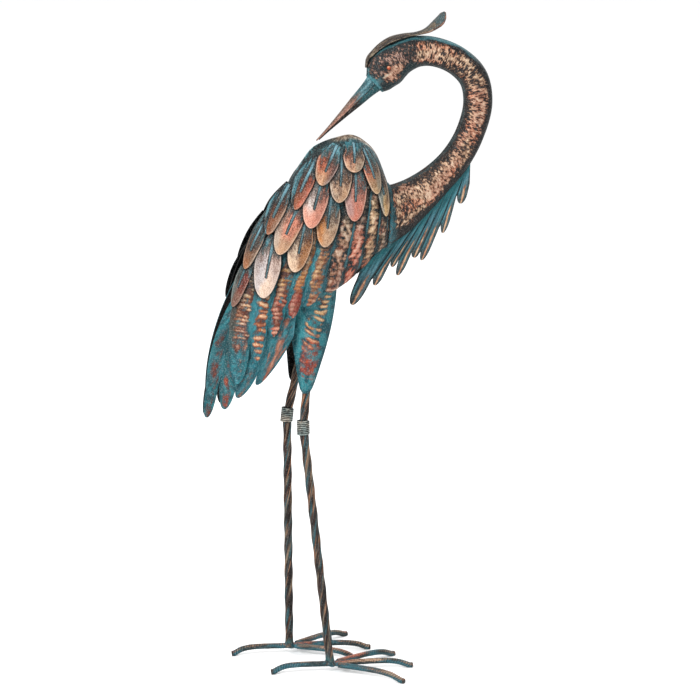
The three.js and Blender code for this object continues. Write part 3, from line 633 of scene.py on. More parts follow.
def feather(name, side):
    dip = FEATHERS[name][4]
    tip_paint, middle, accent, accent_side, dark, teal = FEATHER_PAINTS[name]
    seed = 11 * TIP_ORDER.index(name) + (5 if side == "left" else 0)
    lift, end_lift = rest_heights(name)
    length = feather_frame(name)[3]
    s = np.concatenate([np.linspace(0, TIP_FROM, 42), tip_shares(12)])[:, None]
    spread = np.linspace(-1, 1, 33)[None, :] * math.pi / 2 * 0.86
    c = np.sin(spread) / np.sin(spread[0, -1])
    half = np.maximum(half_width(name, s), 0.35)
    across = c * half
    s = s + 0 * c
    places = feather_place(name, s, across, LEFT_INWARDS.get(name, 0) if side == "left" else 0)
    x, z = places[..., 0], places[..., 1]
    run = s * length
    flow = xyz(run, across, 0) + np.array([seed * 31.0, seed * 17.0, 0])
    grain = Grain(flow, seed)
    # The pressed channel down the middle, wider at the root and round at its end
    channel = mix(1.75, 1.15, s / QUILL_END)
    past = run - (QUILL_END * length - 1.2)
    gap = np.where(past > 0, np.hypot(past, across), np.abs(across))
    slot = 1 - step(channel - 0.75, channel + 0.35, gap)
    lip = np.exp(-(((gap - channel - 0.9) / 0.75) ** 2)) * (s < QUILL_END + 0.03)
    edge = np.minimum(half - np.abs(across), (1 - s) * length)
    plump = np.maximum(0.32, blade_width(s))
    height = lift + (end_lift - lift) * s + CAMBER * plump * (1 - c * c)
    height = height - (QUILL_DEPTH + 0.1) * slot + 0.25 * lip - dip * np.clip(1 - s / DIP_END, 0, 1)
    dents = grain.rough(0, (9, 5))
    height = height + 0.5 * (dents - 0.5) + 0.12 * (grain.even(1, (2.2, 1.6)) - 0.5)
    # Paint
    above = TIP_ORDER[TIP_ORDER.index(name) + 1 :]
    # Painted shade in the crevices beside and under the feathers whose tips lie higher
    crevice = crevice_shade(places, above, 1.7)
    wander = grain.even(2, (16, 7)) - 0.5
    high = blend(middle, tip_paint, step(0.5, 0.86, s + 0.25 * wander))
    patchy = c * accent_side + 0.9 * (grain.even(3, (20, 8)) - 0.5)
    high = blend(high, accent, 0.85 * step(0.05, 0.6, patchy) * (1 - step(0.85, 1, s)))
    worn = grain.spots(8, (7, 3), 0.45, 0.8)
    high = blend(high, (126, 92, 74), (0.15 + 0.5 * dark) * worn * (1 - step(0.8, 1, s)))
    # A cream rim along the blade's edge: partly edge wear, partly a painted highlight
    rim = 0.25 if name in LEFT_INWARDS else 0.45
    high = blend(high, CREAM, rim * hump(edge, 1.4, 0.9) * step(0.2, 0.5, s))
    streaky = grain.even(4, (14, 2.5)) - 0.5
    shore = step(0.45, 0.9, np.abs(c) + 0.5 * streaky)
    root_teal = (1 - step(teal - 0.2, teal + 0.15, s + 0.4 * streaky)) * mix(0.45, 1, shore)
    root_teal = np.maximum(root_teal, 1 - step(0.08, 0.26, s + 0.3 * streaky))
    low = blend((44, 40, 38), (104, 96, 90), grain.even(9, (3, 2)))
    washed = blend((100, 160, 172), (50, 112, 122), grain.spots(5, (9, 2.6), 0.3, 0.6))
    washed = blend(washed, (20, 44, 50), 0.8 * grain.spots(10, (5, 1.8), 0.55, 0.75))
    if name in LEFT_INWARDS:
        low = blend(low, (58, 38, 30), 0.6)
    low = blend(low, washed, root_teal)
    in_slot = blend((124, 172, 186), (76, 116, 124), step(0.15, 0.6, s + 0.6 * streaky))
    low = blend(low, in_slot, slot)
    # Painted shade along the channel's walls
    low = blend(low, (20, 22, 24), 0.85 * hump(gap, channel + 0.3, 0.8) * (s < QUILL_END))
    speckle = grain.rough(6, (2.2, 1.5))
    relief = 0.94 - (0.12 + 0.66 * dark) * (1 - step(0.3, 0.85, s + 0.35 * wander)) - 0.6 * root_teal
    relief = relief + (0.35 + 0.9 * dark) * (speckle - 0.5) - 0.9 * slot + 0.1 * lip
    relief = relief + 0.5 * hump(edge, 1.3, 1.1)
    # Less rubbed along the channel's walls, as painted shade
    relief = relief - 0.5 * hump(gap, channel + 0.3, 0.8) * (s < QUILL_END)
    if name in HEMMED:
        hem = step(0.4, 0.5, c)
        bare = blend((74, 142, 156), (14, 26, 30), grain.spots(12, (24, 1.3), 0.45, 0.62))
        bare = blend(bare, (8, 12, 13), hump(c, 0.46, 0.1))
        high, low = both(high, low, bare, hem)
    # Painted shade in those crevices, and dark along the blade's very edge, partly a dark rim and partly
    # painted shade
    outline = np.maximum(0.97 * crevice, 0.85 * (1 - step(0.0, 0.75, edge)))
    high, low = both(high, low, (8, 15, 17), outline)
    return Patch(side_view(x, height, z), flow, low, high, np.clip(relief, -0.2, 1.2))


# Hammered bars, as they run across the flutes and the thighs


def hammered_bars(run, flow, pitch, wide, seed):
    """How far the metal bulges, from 0 to 1, and the place from 0 to 1 from one groove to the next."""
    grain = Grain(flow, seed)
    warped = run + 0.9 * pitch * (grain.even(0, (12, 22)) - 0.5)
    place = warped / pitch - np.floor(warped / pitch)
    strength = grain.spots(1, (0.9 * pitch, wide), 0.22, 0.62)
    slab = step(0, 0.34, place) * (1 - step(0.5, 1, place))
    return slab * (0.2 + 0.8 * strength), place


def bar_paint(body, place, bulge, pale):
    """The body paint: burnt dark red-brown in the grooves, partly as painted shade, paler on the bars and
    palest along their upper sides, as a painted highlight.
    """
    burnt = blend((112, 56, 38), body, step(0.1, 0.6, bulge))
    return blend(burnt, (250, 216, 174), pale * hump(place, 0.34, 0.26) * step(0.4, 0.9, bulge))


# The combs of fluted feathers


def bowed(a, b, c, n):
    t = down(n)
    return np.array(a) * (1 - t) ** 2 + 2 * np.array(b) * t * (1 - t) + np.array(c) * t * t


def comb_lobe(tops, notches, tips, k, bows, rows, tip_rows, columns, blunt=2):
    """One lobe of a comb: places in the side view, with t down to its notches, s on down its tip,
    and a across it from -1 at the front to 1. bows says how far its two edges bend."""
    a = np.linspace(-1, 1, columns)
    t = down(rows)
    edges = []
    for i, bow in zip((k, k + 1), bows):
        line = mix(np.array(tops[i], float), np.array(notches[i], float), t)
        line[:, 0] += (bow * 4 * t * (1 - t))[:, 0]
        edges.append(line)
    share = ((a + 1) / 2)[None, :, None]
    main = mix(edges[0][:, None, :], edges[1][:, None, :], share)
    s = np.sin(np.linspace(0, math.pi / 2, tip_rows + 1)[1:])[:, None]
    front, rear = np.array(notches[k], float), np.array(notches[k + 1], float)
    centre = mix((front + rear) / 2, np.array(tips[k], float), s)
    half = (rear - front) / 2
    if blunt > 2:
        ahead = np.array(tips[k], float) - (front + rear) / 2
        square = np.array([ahead[1], -ahead[0]]) / np.linalg.norm(ahead)
        half = mix(half, square * (half @ square), step(0, 0.5, s))
    half = half * np.sqrt(1 - (0.985 * s) ** blunt)
    tip = centre[:, None, :] + half[:, None, :] * a[None, :, None]
    places = np.concatenate([main, tip])
    t = np.concatenate([t, np.ones_like(s)]) + 0 * a
    s = np.concatenate([np.zeros((rows, 1)), s]) + 0 * a
    a = a + 0 * t
    run = run_along(places[:, columns // 2]) + 0 * a
    wide = np.linalg.norm(places[:, -1] - places[:, 0], axis=1)[:, None]
    return places, a, t, s, run, wide * a / 2


WING_TOPS = bowed((44, 664), (8, 748), (-116, 628), 10)
WING_NOTCHES = [
    (45, 598), (30, 571), (8, 550), (-18, 533), (-44, 536),
    (-73, 524), (-95, 514), (-119, 497), (-142, 471), (-170, 462),
]
WING_TIPS = [
    (39, 584), (17, 558), (-6, 538), (-33, 531), (-64, 516),
    (-86, 500), (-110, 476), (-132, 440), (-158, 409),
]
TAIL_TOPS = bowed((-76, 545), (-110, 572), (-146, 552), 5)
TAIL_NOTCHES = [(-84, 474), (-129, 428), (-158, 409), (-179, 420), (-198, 398)]
TAIL_TIPS = [(-123, 413), (-153, 389), (-176, 371), (-198, 358)]
# For each lobe from the front: its rubbed paint above, below and at the end, the hollows' paint, how much is
# rubbed, how far apart its bars are, how strong the painted highlight on their upper sides is, and how far
# they rule over plain blots
FLUTE_PAINTS = [
    ((128, 106, 86), (108, 86, 66), (80, 64, 50), (28, 34, 35), 0.54, 6.8, 0, 0),
    ((204, 172, 134), (200, 160, 122), (206, 128, 98), (28, 29, 28), 0.66, 6.8, 0, 0),
    ((184, 152, 130), (202, 118, 94), (204, 98, 68), (30, 32, 32), 0.7, 6.8, 0, 0),
    ((184, 156, 130), (182, 140, 112), (160, 106, 80), (28, 32, 34), 0.66, 6.8, 0, 0),
    ((190, 148, 102), (176, 116, 72), (150, 84, 62), (34, 98, 108), 0.46, 6.4, 0.4, 0.4),
    ((196, 134, 72), (146, 50, 40), (140, 64, 62), (34, 110, 120), 0.44, 6.4, 0.3, 0.3),
    ((204, 146, 78), (150, 56, 42), (216, 112, 88), (36, 114, 124), 0.54, 6.6, 0.5, 0.65),
    ((214, 160, 92), (192, 106, 52), (186, 98, 52), (42, 126, 138), 0.5, 9.4, 0.8, 1.1),
    ((222, 176, 122), (204, 156, 112), (170, 134, 122), (40, 116, 126), 0.52, 5.2, 0.8, 0.75),
]
TAIL_PAINTS = [
    ((164, 104, 76), (184, 106, 78), (182, 122, 98), (36, 110, 120), 0.32, 6.0, 0.1, 0),
    ((150, 100, 70), (160, 110, 86), (140, 110, 96), (36, 114, 126), 0.1, 6.0, 0.1, 0.2),
    ((160, 84, 66), (186, 96, 72), (160, 72, 50), (36, 104, 110), 0.26, 7.0, 0.2, 0.1),
    ((140, 62, 50), (146, 52, 42), (124, 62, 50), (34, 110, 118), 0.28, 7.6, 0.1, 0.15),
]
WING_COMB = (WING_TOPS, WING_NOTCHES, WING_TIPS, FLUTE_PAINTS)
TAIL_COMB = (TAIL_TOPS, TAIL_NOTCHES, TAIL_TIPS, TAIL_PAINTS)
belly_edge = profile([(-60, 505), (-19, 526), (-1, 541), (17, 557.5), (30, 570), (46, 590)])


def flutes(kind, side):
    wing = kind == "wing"
    tops, notches, tips, paints = WING_COMB if wing else TAIL_COMB
    light_share = 0.7 if wing else 0.45
    patches = []
    for k, (upper, lower, end, hollow, rubbed, pitch, pale, barred) in enumerate(paints):
        edges = np.array([k, k + 1])
        bows = -13 * step(5, 9, edges) if wing else -3 * edges
        rows, blunt = (92, 2) if wing else (70, 2 if k < 3 else 4)
        places, a, t, s, run, across = comb_lobe(tops, notches, tips, k, bows, rows, 22, 15, blunt)
        x, z = np.moveaxis(places, -1, 0)
        seed = 40 + 13 * k + (3 if side == "left" else 0) + (0 if wing else 200)
        flow = xyz(run, across, 0) + np.array([seed * 37.0, seed * 11.0, 0])
        grain = Grain(flow, seed)
        ridge, back = (4.5, 0) if wing else (2.6, 8)
        ridge = ridge * mix(0.75, 1, t) * mix(1, 0.35, s)
        round_top = 1 - np.abs(a) ** 1.8
        height = ridge * round_top - back + 0.9 * a * s**0.7
        # Hammer marks: bars across the flute, and knobs instead on the foremost ones
        level = 800 - z - 0.12 * x - 1.6 * a * a
        bars, place = hammered_bars(level, xyz(level, across, 0) + seed * 5.0, pitch, 13, seed)
        bars = bars * step(1.1, 0.7, np.abs(a) + 0.7 * (grain.even(9, (5, 30)) - 0.5))
        knobs = mix(grain.even(2, (6.0, 5.0)), grain.even(13, (2.2, 2.2)), 0.4)
        front = step(-62, -22, x) if wing else 0 * x
        low_part = 1 - step(425, 480, z)
        marks = mix(mix(knobs, bars, barred), 0.4 + 1.6 * (knobs - 0.5) + 0.3 * bars, front)
        crown = 1 - np.abs(a) ** 2.4
        height = height + crown * (1.8 * (marks - 0.4)) * (1 - 0.5 * low_part)
        # Paint
        cover = mix(grain.even(3, (13, 8)), grain.even(15, (5, 4.5)), 0.35)
        middle = step(1.05, 0.5, np.abs(a + 0.05) + 0.7 * (grain.even(11, (7, 40)) - 0.5))
        relief = rubbed + mix(0.3 + 0.35 * barred, 1.25, front) * (marks - 0.45)
        relief = relief + mix(1.5 - 0.5 * barred, 0.6, front) * (cover - 0.5)
        relief = relief - mix(0.4, 0.75, front) * (1 - crown)
        relief = relief + (0.75 * middle - 0.42 - (0.62 * low_part if wing else 0.14)) * (1 - front)
        patch = grain.even(4, (14, 14)) - 0.5
        body = blend(lower, upper, step(0, 1, (z - mix(520, 596, front)) / 30 + 0.6 * patch))
        body = blend(end, body, step(0, 1, (z - mix(492, 562, front)) / 14 + 0.9 * patch + 0.3))
        body = blend(body, (134, 56, 38), 0.5 * grain.spots(5, (8, 6), 0.5, 0.75))
        # The bars get painted shade in their grooves and a painted highlight along their upper sides
        struck = blend(body, bar_paint(body, place, bars, pale), min(1, 1.6 * barred) + 0 * a)
        high = mix(struck, blend(body, CREAM, 0.4 * step(0.6, 0.85, knobs)), front[..., None])
        light = 0.1 if wing and k < 4 else light_share
        low = blend(hollow, BRIGHT_TEAL, light * grain.spots(6, (20, 7), 0.4, 0.75))
        low = blend(low, (14, 50, 58), 0.55 * grain.spots(8, (4.5, 3.4), 0.45, 0.72))
        lavender = grain.spots(12, (9, 5), 0.55, 0.8) * (1 - front)
        low = blend(low, (118, 134, 150), 0.22 * lavender * step(1.0, 0.5, np.abs(a)))
        low = blend(low, (12, 20, 22), 0.6 * front * grain.spots(10, (3, 3), 0.45, 0.7))
        ripples = step(0.2, 0.9, np.sin(2 * math.pi * (level + 3 * grain.even(14, 9)) / 3.4))
        low = blend(low, (40, 76, 84), 0.55 * low_part * ripples * step(0.95, 0.6, np.abs(a)))
        groove = hump(np.abs(a), 1.0, 0.3) * (1 - step(0.0, 0.1, s)) * grain.spots(7, (20, 9), 0.3, 0.6)
        low = blend(low, (72, 140, 152), 0.8 * groove)
        # Painted shade along each lobe's rear edge towards its end, beside the next lobe
        low = blend(low, DEEP_TEAL, 0.6 * step(0.6, 0.97, a) * step(0.0, 0.3, s + t - 0.8))
        if wing and k == 8:
            burnt = step(-0.1, 0.45, a + 0.6 * (cover - 0.5)) * step(440, 500, z)
            high = blend(high, (146, 84, 56), 0.7 * burnt)
            low = blend(low, (84, 58, 46), 0.75 * burnt)
        if wing:
            # Painted shade in the crevices round the small feathers, and along the belly's edge below the
            # front lobes
            crevice = crevice_shade(places, TIP_ORDER, 3.4)
            belly = 1 - step(1, 7, z - belly_edge(x) + 3 * (1 - np.abs(a)))
            shade = np.maximum(0.95 * crevice, 0.9 * belly * step(-40, -20, x))
            high, low = both(high, low, (8, 16, 19), shade)
        else:
            # Painted shade on the tail near the tips of the wing's rear lobes, which hang over it
            over = np.min([np.hypot(x - px, z - pz) for px, pz in WING_NOTCHES[5:]], axis=0)
            high, low = both(high, low, (8, 24, 28), 0.6 * np.exp(-over / 9))
        patches.append(Patch(side_view(x, height, z), flow, low, high, np.clip(relief, -0.2, 1.2)))
    return patches


# The thighs

thigh_middle = profile([(0, -57), (0.35, -58.7), (0.57, -60), (0.79, -63.5), (1, -67.3)])
thigh_half = profile([(0, 33), (0.12, 35), (0.35, 31), (0.57, 23.5), (0.79, 15.5), (0.94, 9.5), (1, 5.5)])
thigh_roll = profile([(0, 14), (0.12, 20), (0.35, 18), (0.6, 12), (0.8, 7), (1, 3)])

THIGH_TOP, THIGH_END = 545, 394
THIGH_OUT = 46.8


def shell_out(x, z):
    top, bottom = back_line(x), belly_line(x) + belly_inset(x)
    rise = np.clip((2 * z - top - bottom) / (top - bottom), -1, 1)
    return (flank_width(x) - shell_inset(x)) * np.sqrt(1 - rise * rise)


def thigh(side):
    seed = 500 if side == "left" else 520
    shift = -4 if side == "left" else 0
    t = down(96)
    c = np.linspace(1, -1, 41)[None, :]
    z = mix(THIGH_TOP, THIGH_END, t) + 0 * c
    blunt = np.sqrt(1 - np.clip((t - 0.965) / 0.05, 0, 1) ** 2)
    x = thigh_middle(t) + c * thigh_half(t) * blunt + shift * t * t
    across = c * thigh_half(t)
    flow = xyz(THIGH_TOP - z, across, 0) + seed
    grain = Grain(flow, seed)
    # Crescents lie one under another down a band, from the front at the top to the middle below
    off_band = across - thigh_half(t) * mix(0.55, 0.0, step(0, 0.55, t))
    slant = flow[..., 0] - 0.4 * across + 0.02 * off_band**2
    bars, place = hammered_bars(slant, flow, 8.4, 7, seed)
    bars = bars * step(15, 9, np.abs(off_band) + 5 * (grain.even(7, (5, 20)) - 0.5))
    edge = thigh_half(t) * (1 - np.abs(c))
    bulge = bars * step(1.5, 6, edge)
    y = np.maximum(THIGH_OUT - thigh_roll(t) * c * c, shell_out(x, z) + 2.6) + 1.6 * (bulge - 0.4)
    blots = mix(grain.even(2, (8, 7)), grain.even(9, (4, 4)), 0.35)
    band = step(16, 8, np.abs(off_band))
    cluster = hump(z, 440, 34) * step(16, 9, np.abs(off_band))
    relief = 0.06 + 0.62 * bulge * (1 - cluster) + 0.9 * (blots - 0.5) + 0.16 * band + 0.34 * cluster
    relief = relief - 0.5 * step(0.8, 0.93, t) - 0.4 * (1 - step(1, 5, edge))
    body = blend((190, 104, 66), (216, 168, 116), step(462, 496, z + 16 * (grain.even(6, 12) - 0.5)))
    body = blend(body, (210, 92, 62), 0.9 * cluster)
    body = blend(body, (134, 48, 44), 0.9 * cluster * grain.spots(3, 7, 0.4, 0.56))
    # Painted highlight along the bars' upper sides, in the thigh's upper part only
    high = bar_paint(body, place, bars + cluster, 0.75 * step(420, 480, z))
    low = blend(TEAL, BRIGHT_TEAL, 0.8 * grain.even(4, (22, 12)))
    low = blend(low, (20, 70, 80), 0.8 * grain.spots(5, (6, 5), 0.42, 0.7))
    low = blend(low, (150, 142, 140), 0.45 * grain.spots(8, (7, 5), 0.5, 0.8) * band)
    # Deeper teal along the rolled edges, and painted shade across the top, which goes in under the wing's
    # flutes
    low = blend(low, DEEP_TEAL, 0.5 * step(0.6, 1, np.abs(c)) + 0.5 * (1 - step(0, 0.09, t)))
    return [Patch(xyz(x, y, z), flow, low, high, relief)]


# The body, the neck and the head


# The back swells up between the wings, and outwards to the roots of the upper feathers welded to it
BACK_RISE = 6
ROOT_SWELL = 4
BODY_FRONT, BODY_LENGTH = 50, 196


def body():
    x = BODY_FRONT - BODY_LENGTH * (0.5 - 0.5 * np.cos(down(110) * math.pi))
    turn = around(120)
    top, bottom = back_line(x) + BACK_RISE * hump(x, -50, 34), belly_line(x) + belly_inset(x)
    z = mix(bottom, top, (1 + np.sin(turn)) / 2)
    rooted = hump(x, -24, 66)
    width = np.maximum(1, flank_width(x) - shell_inset(x)) * np.abs(np.cos(turn)) ** (1 - 0.16 * rooted)
    swell = ROOT_SWELL * rooted * step(0.2, 0.6, np.sin(turn))
    x = x + 0 * turn
    inner = np.maximum(1, wing_face(x, z) - shell_inset(x) + swell)
    y = np.sign(np.cos(turn)) * np.minimum(width, inner)
    flow = xyz(x, y, z)
    grain = Grain(flow, 700)
    marks = grain.rough(0, 4)
    out = xyz(0 * x, np.cos(turn), np.sin(turn))
    front = step(20, 42, x) * (1 - step(640, 700, z))
    points = flow + out * (0.9 * (marks - 0.5) * (0.25 + 0.75 * front))[..., None]
    ridge = np.sin(turn) + 0 * x
    band = step(0.93, 0.975, ridge) * step(-40, -16, x)
    top = step(0.1, 0.5, ridge)
    behind = 1 - step(-45, -15, x)
    # Streaks that run down the hump and along the back
    slope = np.arctan2(z - 790, x + 5)
    fan = Grain(xyz(slope * 60, np.hypot(x + 5, z - 790) / 5, 0), 700)
    streaks = mix(fan.even(2, (2.4, 4)), fan.even(4, (1.6, 2)), 0.4)
    spot = grain.even(1, 2.6)
    high = blend((136, 116, 100), (168, 148, 126), band)
    high = blend(high, (92, 156, 170), 0.9 * top * (1 - band) * fan.spots(3, (5, 4), 0.25, 0.5))
    low = blend((30, 32, 32), (34, 94, 106), 0.95 * top * step(0.25, 0.55, streaks))
    low = blend(low, (84, 76, 66), band)
    # Painted shade over the lower part of the body, under the wings, behind the front
    low = blend(low, (10, 22, 26), 0.85 * (1 - top) * (1 - front))
    relief = 0.42 + 0.9 * (marks - 0.5) + 0.7 * (spot - 0.5) + 0.3 * band
    relief = relief + 0.8 * top * (1 - band) * (streaks - 0.5)
    relief = relief - 0.12 * behind * (1 - band) + 0.25 * front - 0.35 * (1 - step(1, 8, BODY_FRONT - x))
    # Creases along the back, teal with black between
    lines = noise(xyz(x, 46 * ridge, 0), (30, 2.6), 705)
    creased = 0.45 + 1.6 * (lines - 0.5) + 0.5 * (spot - 0.5)
    relief = mix(relief, creased, 0.85 * behind * step(0.3, 0.6, ridge))
    high = blend(high, (88, 152, 164), 0.85 * behind)
    low = blend(low, (12, 22, 25), 0.8 * behind)
    return Patch(points, flow, low, high, relief)


NECK = [
    (50.4, 627, 43, 38), (66, 636, 34.5, 33), (92, 653, 27, 26.5), (119, 675, 22, 21.5),
    (143, 700, 20, 19), (163, 734, 19, 18), (174.5, 777, 19.2, 17.5), (168, 811, 19, 17.5),
    (145, 834, 18.6, 17.5), (115, 846, 18.8, 17), (92, 847, 20, 16.5), (73.5, 841.4, 22, 17.5),
    (59, 833, 24.8, 19), (48, 822.5, 25.4, 19.5), (38.5, 811, 20.5, 15.5), (32.6, 804.2, 14.6, 11.5),
]
BEAK_BASE = np.array([31.2, 802.8])
BEAK_TIP = np.array([-45.0, 729.0])
BEAKWARD = (BEAK_TIP - BEAK_BASE) / np.linalg.norm(BEAK_TIP - BEAK_BASE)
BEAK_LENGTH = 106
BEAK_SUNK = 2.5  # how far the halves of the beak reach back into the face


def spline(points, n):
    """Points and directions at even shares of a centripetal Catmull-Rom curve, as the solids use it."""
    p = np.array(points, float)
    p = np.concatenate([[2 * p[0] - p[1]], p, [2 * p[-1] - p[-2]]])
    last = len(points) - 1

    def at(share):
        i = np.minimum((share * last).astype(int), last - 1)
        t = (share * last - i)[:, None]
        a, b, c, d = (p[i + k] for k in range(4))
        gaps = (np.linalg.norm(gap, axis=1)[:, None] for gap in (b - a, c - b, d - c))
        g0, g1, g2 = (np.maximum(gap, 1e-9) ** 0.5 for gap in gaps)
        m1 = ((b - a) / g0 - (c - a) / (g0 + g1) + (c - b) / g1) * g1
        m2 = ((c - b) / g1 - (d - b) / (g1 + g2) + (d - c) / g2) * g1
        return b + m1 * t + (-3 * b + 3 * c - 2 * m1 - m2) * t**2 + (2 * b - 2 * c + m1 + m2) * t**3

    share = np.linspace(0, 1, n)
    h = 1e-4
    ahead, behind = at(np.minimum(1, share + h)), at(np.maximum(0, share - h))
    along = ahead - behind
    return at(share), along / np.linalg.norm(along, axis=1, keepdims=True)


def neck():
    rows, columns = 640, 108
    stations = np.array(NECK, float)
    centre, along = spline(stations[:, :2], rows)
    share = down(rows)
    places = np.linspace(0, 1, len(NECK))
    tall, deep = (profile(np.column_stack([places, sizes]))(share) for sizes in stations[:, 2:].T)
    along = mix(along, np.array([1.0, 0.0]), 1 - step(0, 0.1, share))
    along = mix(along, BEAKWARD, 1 - step(0, 0.1, 1 - share))
    along /= np.linalg.norm(along, axis=1, keepdims=True)
    outer_x, outer_z = -along[:, 1:], along[:, :1]
    turn = around(columns)
    rise, side = -np.sin(turn) + 0 * tall, -np.cos(turn) + 0 * tall
    run = run_along(centre)
    total = run[-1, 0]
    run = run + 0 * rise
    flow = xyz(run, deep * side, tall * rise)
    grain = Grain(flow, 800)
    x = centre[:, :1] + outer_x * tall * rise
    z = centre[:, 1:] + outer_z * tall * rise
    outer_side = -rise  # 1 along the hook's outer side: under the breast, round the bend and over the crown
    # Hammering: fine and round at the breast, in short bars round the neck, and little on the head
    wrinkle = creases(grain.rough(0, (2.5, 7)))
    wrinkle = wrinkle * (0.5 + 0.5 * grain.even(1, (4, 4)))
    pebble = grain.rough(2, (2.4, 2.8))
    breast = 1 - step(70, 190, run)
    head = step(total - 76, total - 58, run)
    marks = mix(wrinkle, pebble, np.maximum(0.85 * breast, 0.5 * head) + 0.12)
    push = (1.5 - 0.6 * breast - 0.7 * head) * (marks - 0.5) * (1 - step(0.9, 0.99, np.abs(rise)))
    # The head: a cheek plate, a brow over the eye and the eye's hollow, the same on both sides
    cheek_x, cheek_z = (x - 58) * 0.86 + (z - 819) * 0.5, (z - 819) * 0.86 - (x - 58) * 0.5
    cheek = 1 - step(0.7, 1.1, np.hypot(cheek_x / 19, cheek_z / 12))
    socket = np.exp(-(((x - 47.5) / 6.5) ** 2) - ((z - 826.5) / 5.0) ** 2)
    brow = np.exp(-((((z - 835.5) - 0.35 * (x - 50)) / 2.6) ** 2) - ((x - 52) / 13) ** 2)
    push = push + head * (1.2 * cheek + 1.1 * brow - 2.0 * socket)
    push = push + 0.8 * hump(np.abs(rise), 1.0, 0.012)
    y = (deep + push) * side
    x = x + outer_x * rise * push
    z = z + outer_z * rise * push
    # Paint
    bronze = grain.even(3, (24, 16))
    high = blend((204, 168, 138), (178, 128, 104), step(0.45, 0.8, bronze))
    # Cream on the hammer marks' crests: partly wear, partly a painted highlight
    high = blend(high, (238, 204, 166), 0.5 * step(0.58, 0.86, marks))
    high = blend(high, (210, 128, 94), 0.6 * grain.spots(4, (16, 9), 0.54, 0.74))
    high = blend(high, (170, 148, 132), 0.6 * head)
    low = blend((20, 19, 20), (60, 54, 52), grain.even(5, (5, 5)))
    # Rubbed more across the middle of the neck's width than at its edges: a painted highlight on the round
    # neck
    relief = 0.4 + 1.8 * (marks - 0.5) + 0.6 * (bronze - 0.5) + 0.22 * (1 - rise * rise) + 0.12 * breast
    relief = relief + 0.1 * step(230, 340, run) - 0.14 * hump(run, 150, 100) - 0.09 * head
    wander = grain.even(6, (14, 7)) - 0.5
    # Dark along the hook's outer side and, less, along its inner side: partly dark paint, partly painted
    # shade
    under = step(0.36, 0.92, outer_side + 0.3 * wander) * (1 - head) * mix(1.0, 0.6, step(120, 420, run))
    inside = step(0.6, 0.98, -outer_side + 0.3 * wander) * (1 - head)
    relief = relief - 0.8 * under - 0.45 * inside
    high = blend(high, BROWN, 0.75 * under + 0.4 * inside)
    low = blend(low, BLACK, 0.9 * under)
    # Teal where the two halves are welded: over the crown and the bend, and a trace along the inner side
    streak = grain.even(7, (15, 4)) - 0.5
    from_head = total - run
    brow_end = 1 - step(15, 50, from_head)
    crown = step(0.74, 0.88, outer_side + 0.22 * streak - 0.15 * brow_end) * (1 - step(130, 175, from_head))
    bend = 0.3 * hump(outer_side + 0.1 * streak, 0.88, 0.08) * step(150, 240, run)
    inner = 0.35 * hump(-outer_side + 0.16 * streak, 0.97, 0.08) * (1 - head)
    throat = step(0.6, 0.85, -outer_side + 0.2 * wander) * (1 - step(60, 105, from_head))
    seam = run + 5 * (grain.even(9, 5) - 0.5)
    weld = 0.9 * (1 - step(3, 10, seam))
    face = step(-10, -3, -from_head + 7 * (grain.even(10, 6) - 0.5))
    # A light line along the gape, a painted highlight
    gape = np.exp(-((((z - 813) - 0.75 * (x - 42)) / 1.3) ** 2))
    gape = head * gape * step(35, 39, x) * (1 - step(48, 53, x))
    lore = 0.7 * head * np.exp(-((((z - 811) - 0.75 * (x - 38)) / 5) ** 2)) * (1 - step(38, 47, x))
    teal = np.maximum.reduce([0.95 * crown, bend, inner, 0.5 * throat, weld, face, lore])
    washed = blend((34, 98, 108), (92, 146, 154), grain.even(11, (16, 3)))
    washed = blend(washed, (18, 48, 54), 0.8 * grain.spots(14, (13, 2), 0.55, 0.75))
    low = blend(low, washed, teal)
    dull = 0.75 * throat * (1 - face) + 0.5 * weld * grain.spots(12, (3, 4), 0.5, 0.75)
    low = blend(low, (18, 42, 46), dull)
    relief = relief - 0.7 * teal - 0.2 * throat
    skull = head * (1 - face) * (1 - cheek)
    low = blend(low, (30, 40, 43), 0.85 * skull * (1 - crown) * (1 - lore))
    high = blend(high, blend((136, 106, 104), (186, 146, 124), grain.even(13, 6)), 0.75 * skull)
    relief = relief - 0.2 * skull + 0.1 * cheek * head * (1 - face) + 0.5 * gape
    high = blend(high, (198, 138, 110), 0.6 * cheek * head)
    high = blend(high, (176, 178, 162), 0.9 * gape)
    chin = head * step(0.3, 0.75, -outer_side) * (1 - face)
    low = blend(low, (22, 50, 54), 0.8 * chin)
    relief = relief - 0.35 * chin
    # Painted shade in the eye's hollow round the bead
    dark_eye = np.exp(-(((x - 47) / 5.2) ** 2) - ((z - 825.5) / 4.6) ** 2) * head
    high, low = blend(high, BROWN, 0.8 * dark_eye), blend(low, (14, 36, 42), dark_eye)
    relief = relief - 0.4 * dark_eye
    low = blend(low, BLACK, 0.7 * step(0.95, 1.0, outer_side) * (1 - crown))
    fields = (xyz(x, y, z), flow, low, high, np.clip(relief, -0.3, 1.2))
    return Patch(*(field[::-1] for field in fields))


beak_tall = profile([(0, 13.4), (0.12, 10.8), (0.3, 8.8), (0.55, 5.6), (0.8, 2.9), (1, 1.5)])
beak_deep = profile([(0, 10.4), (0.12, 8.6), (0.3, 7), (0.55, 4.8), (0.8, 2.9), (1, 1.5)])


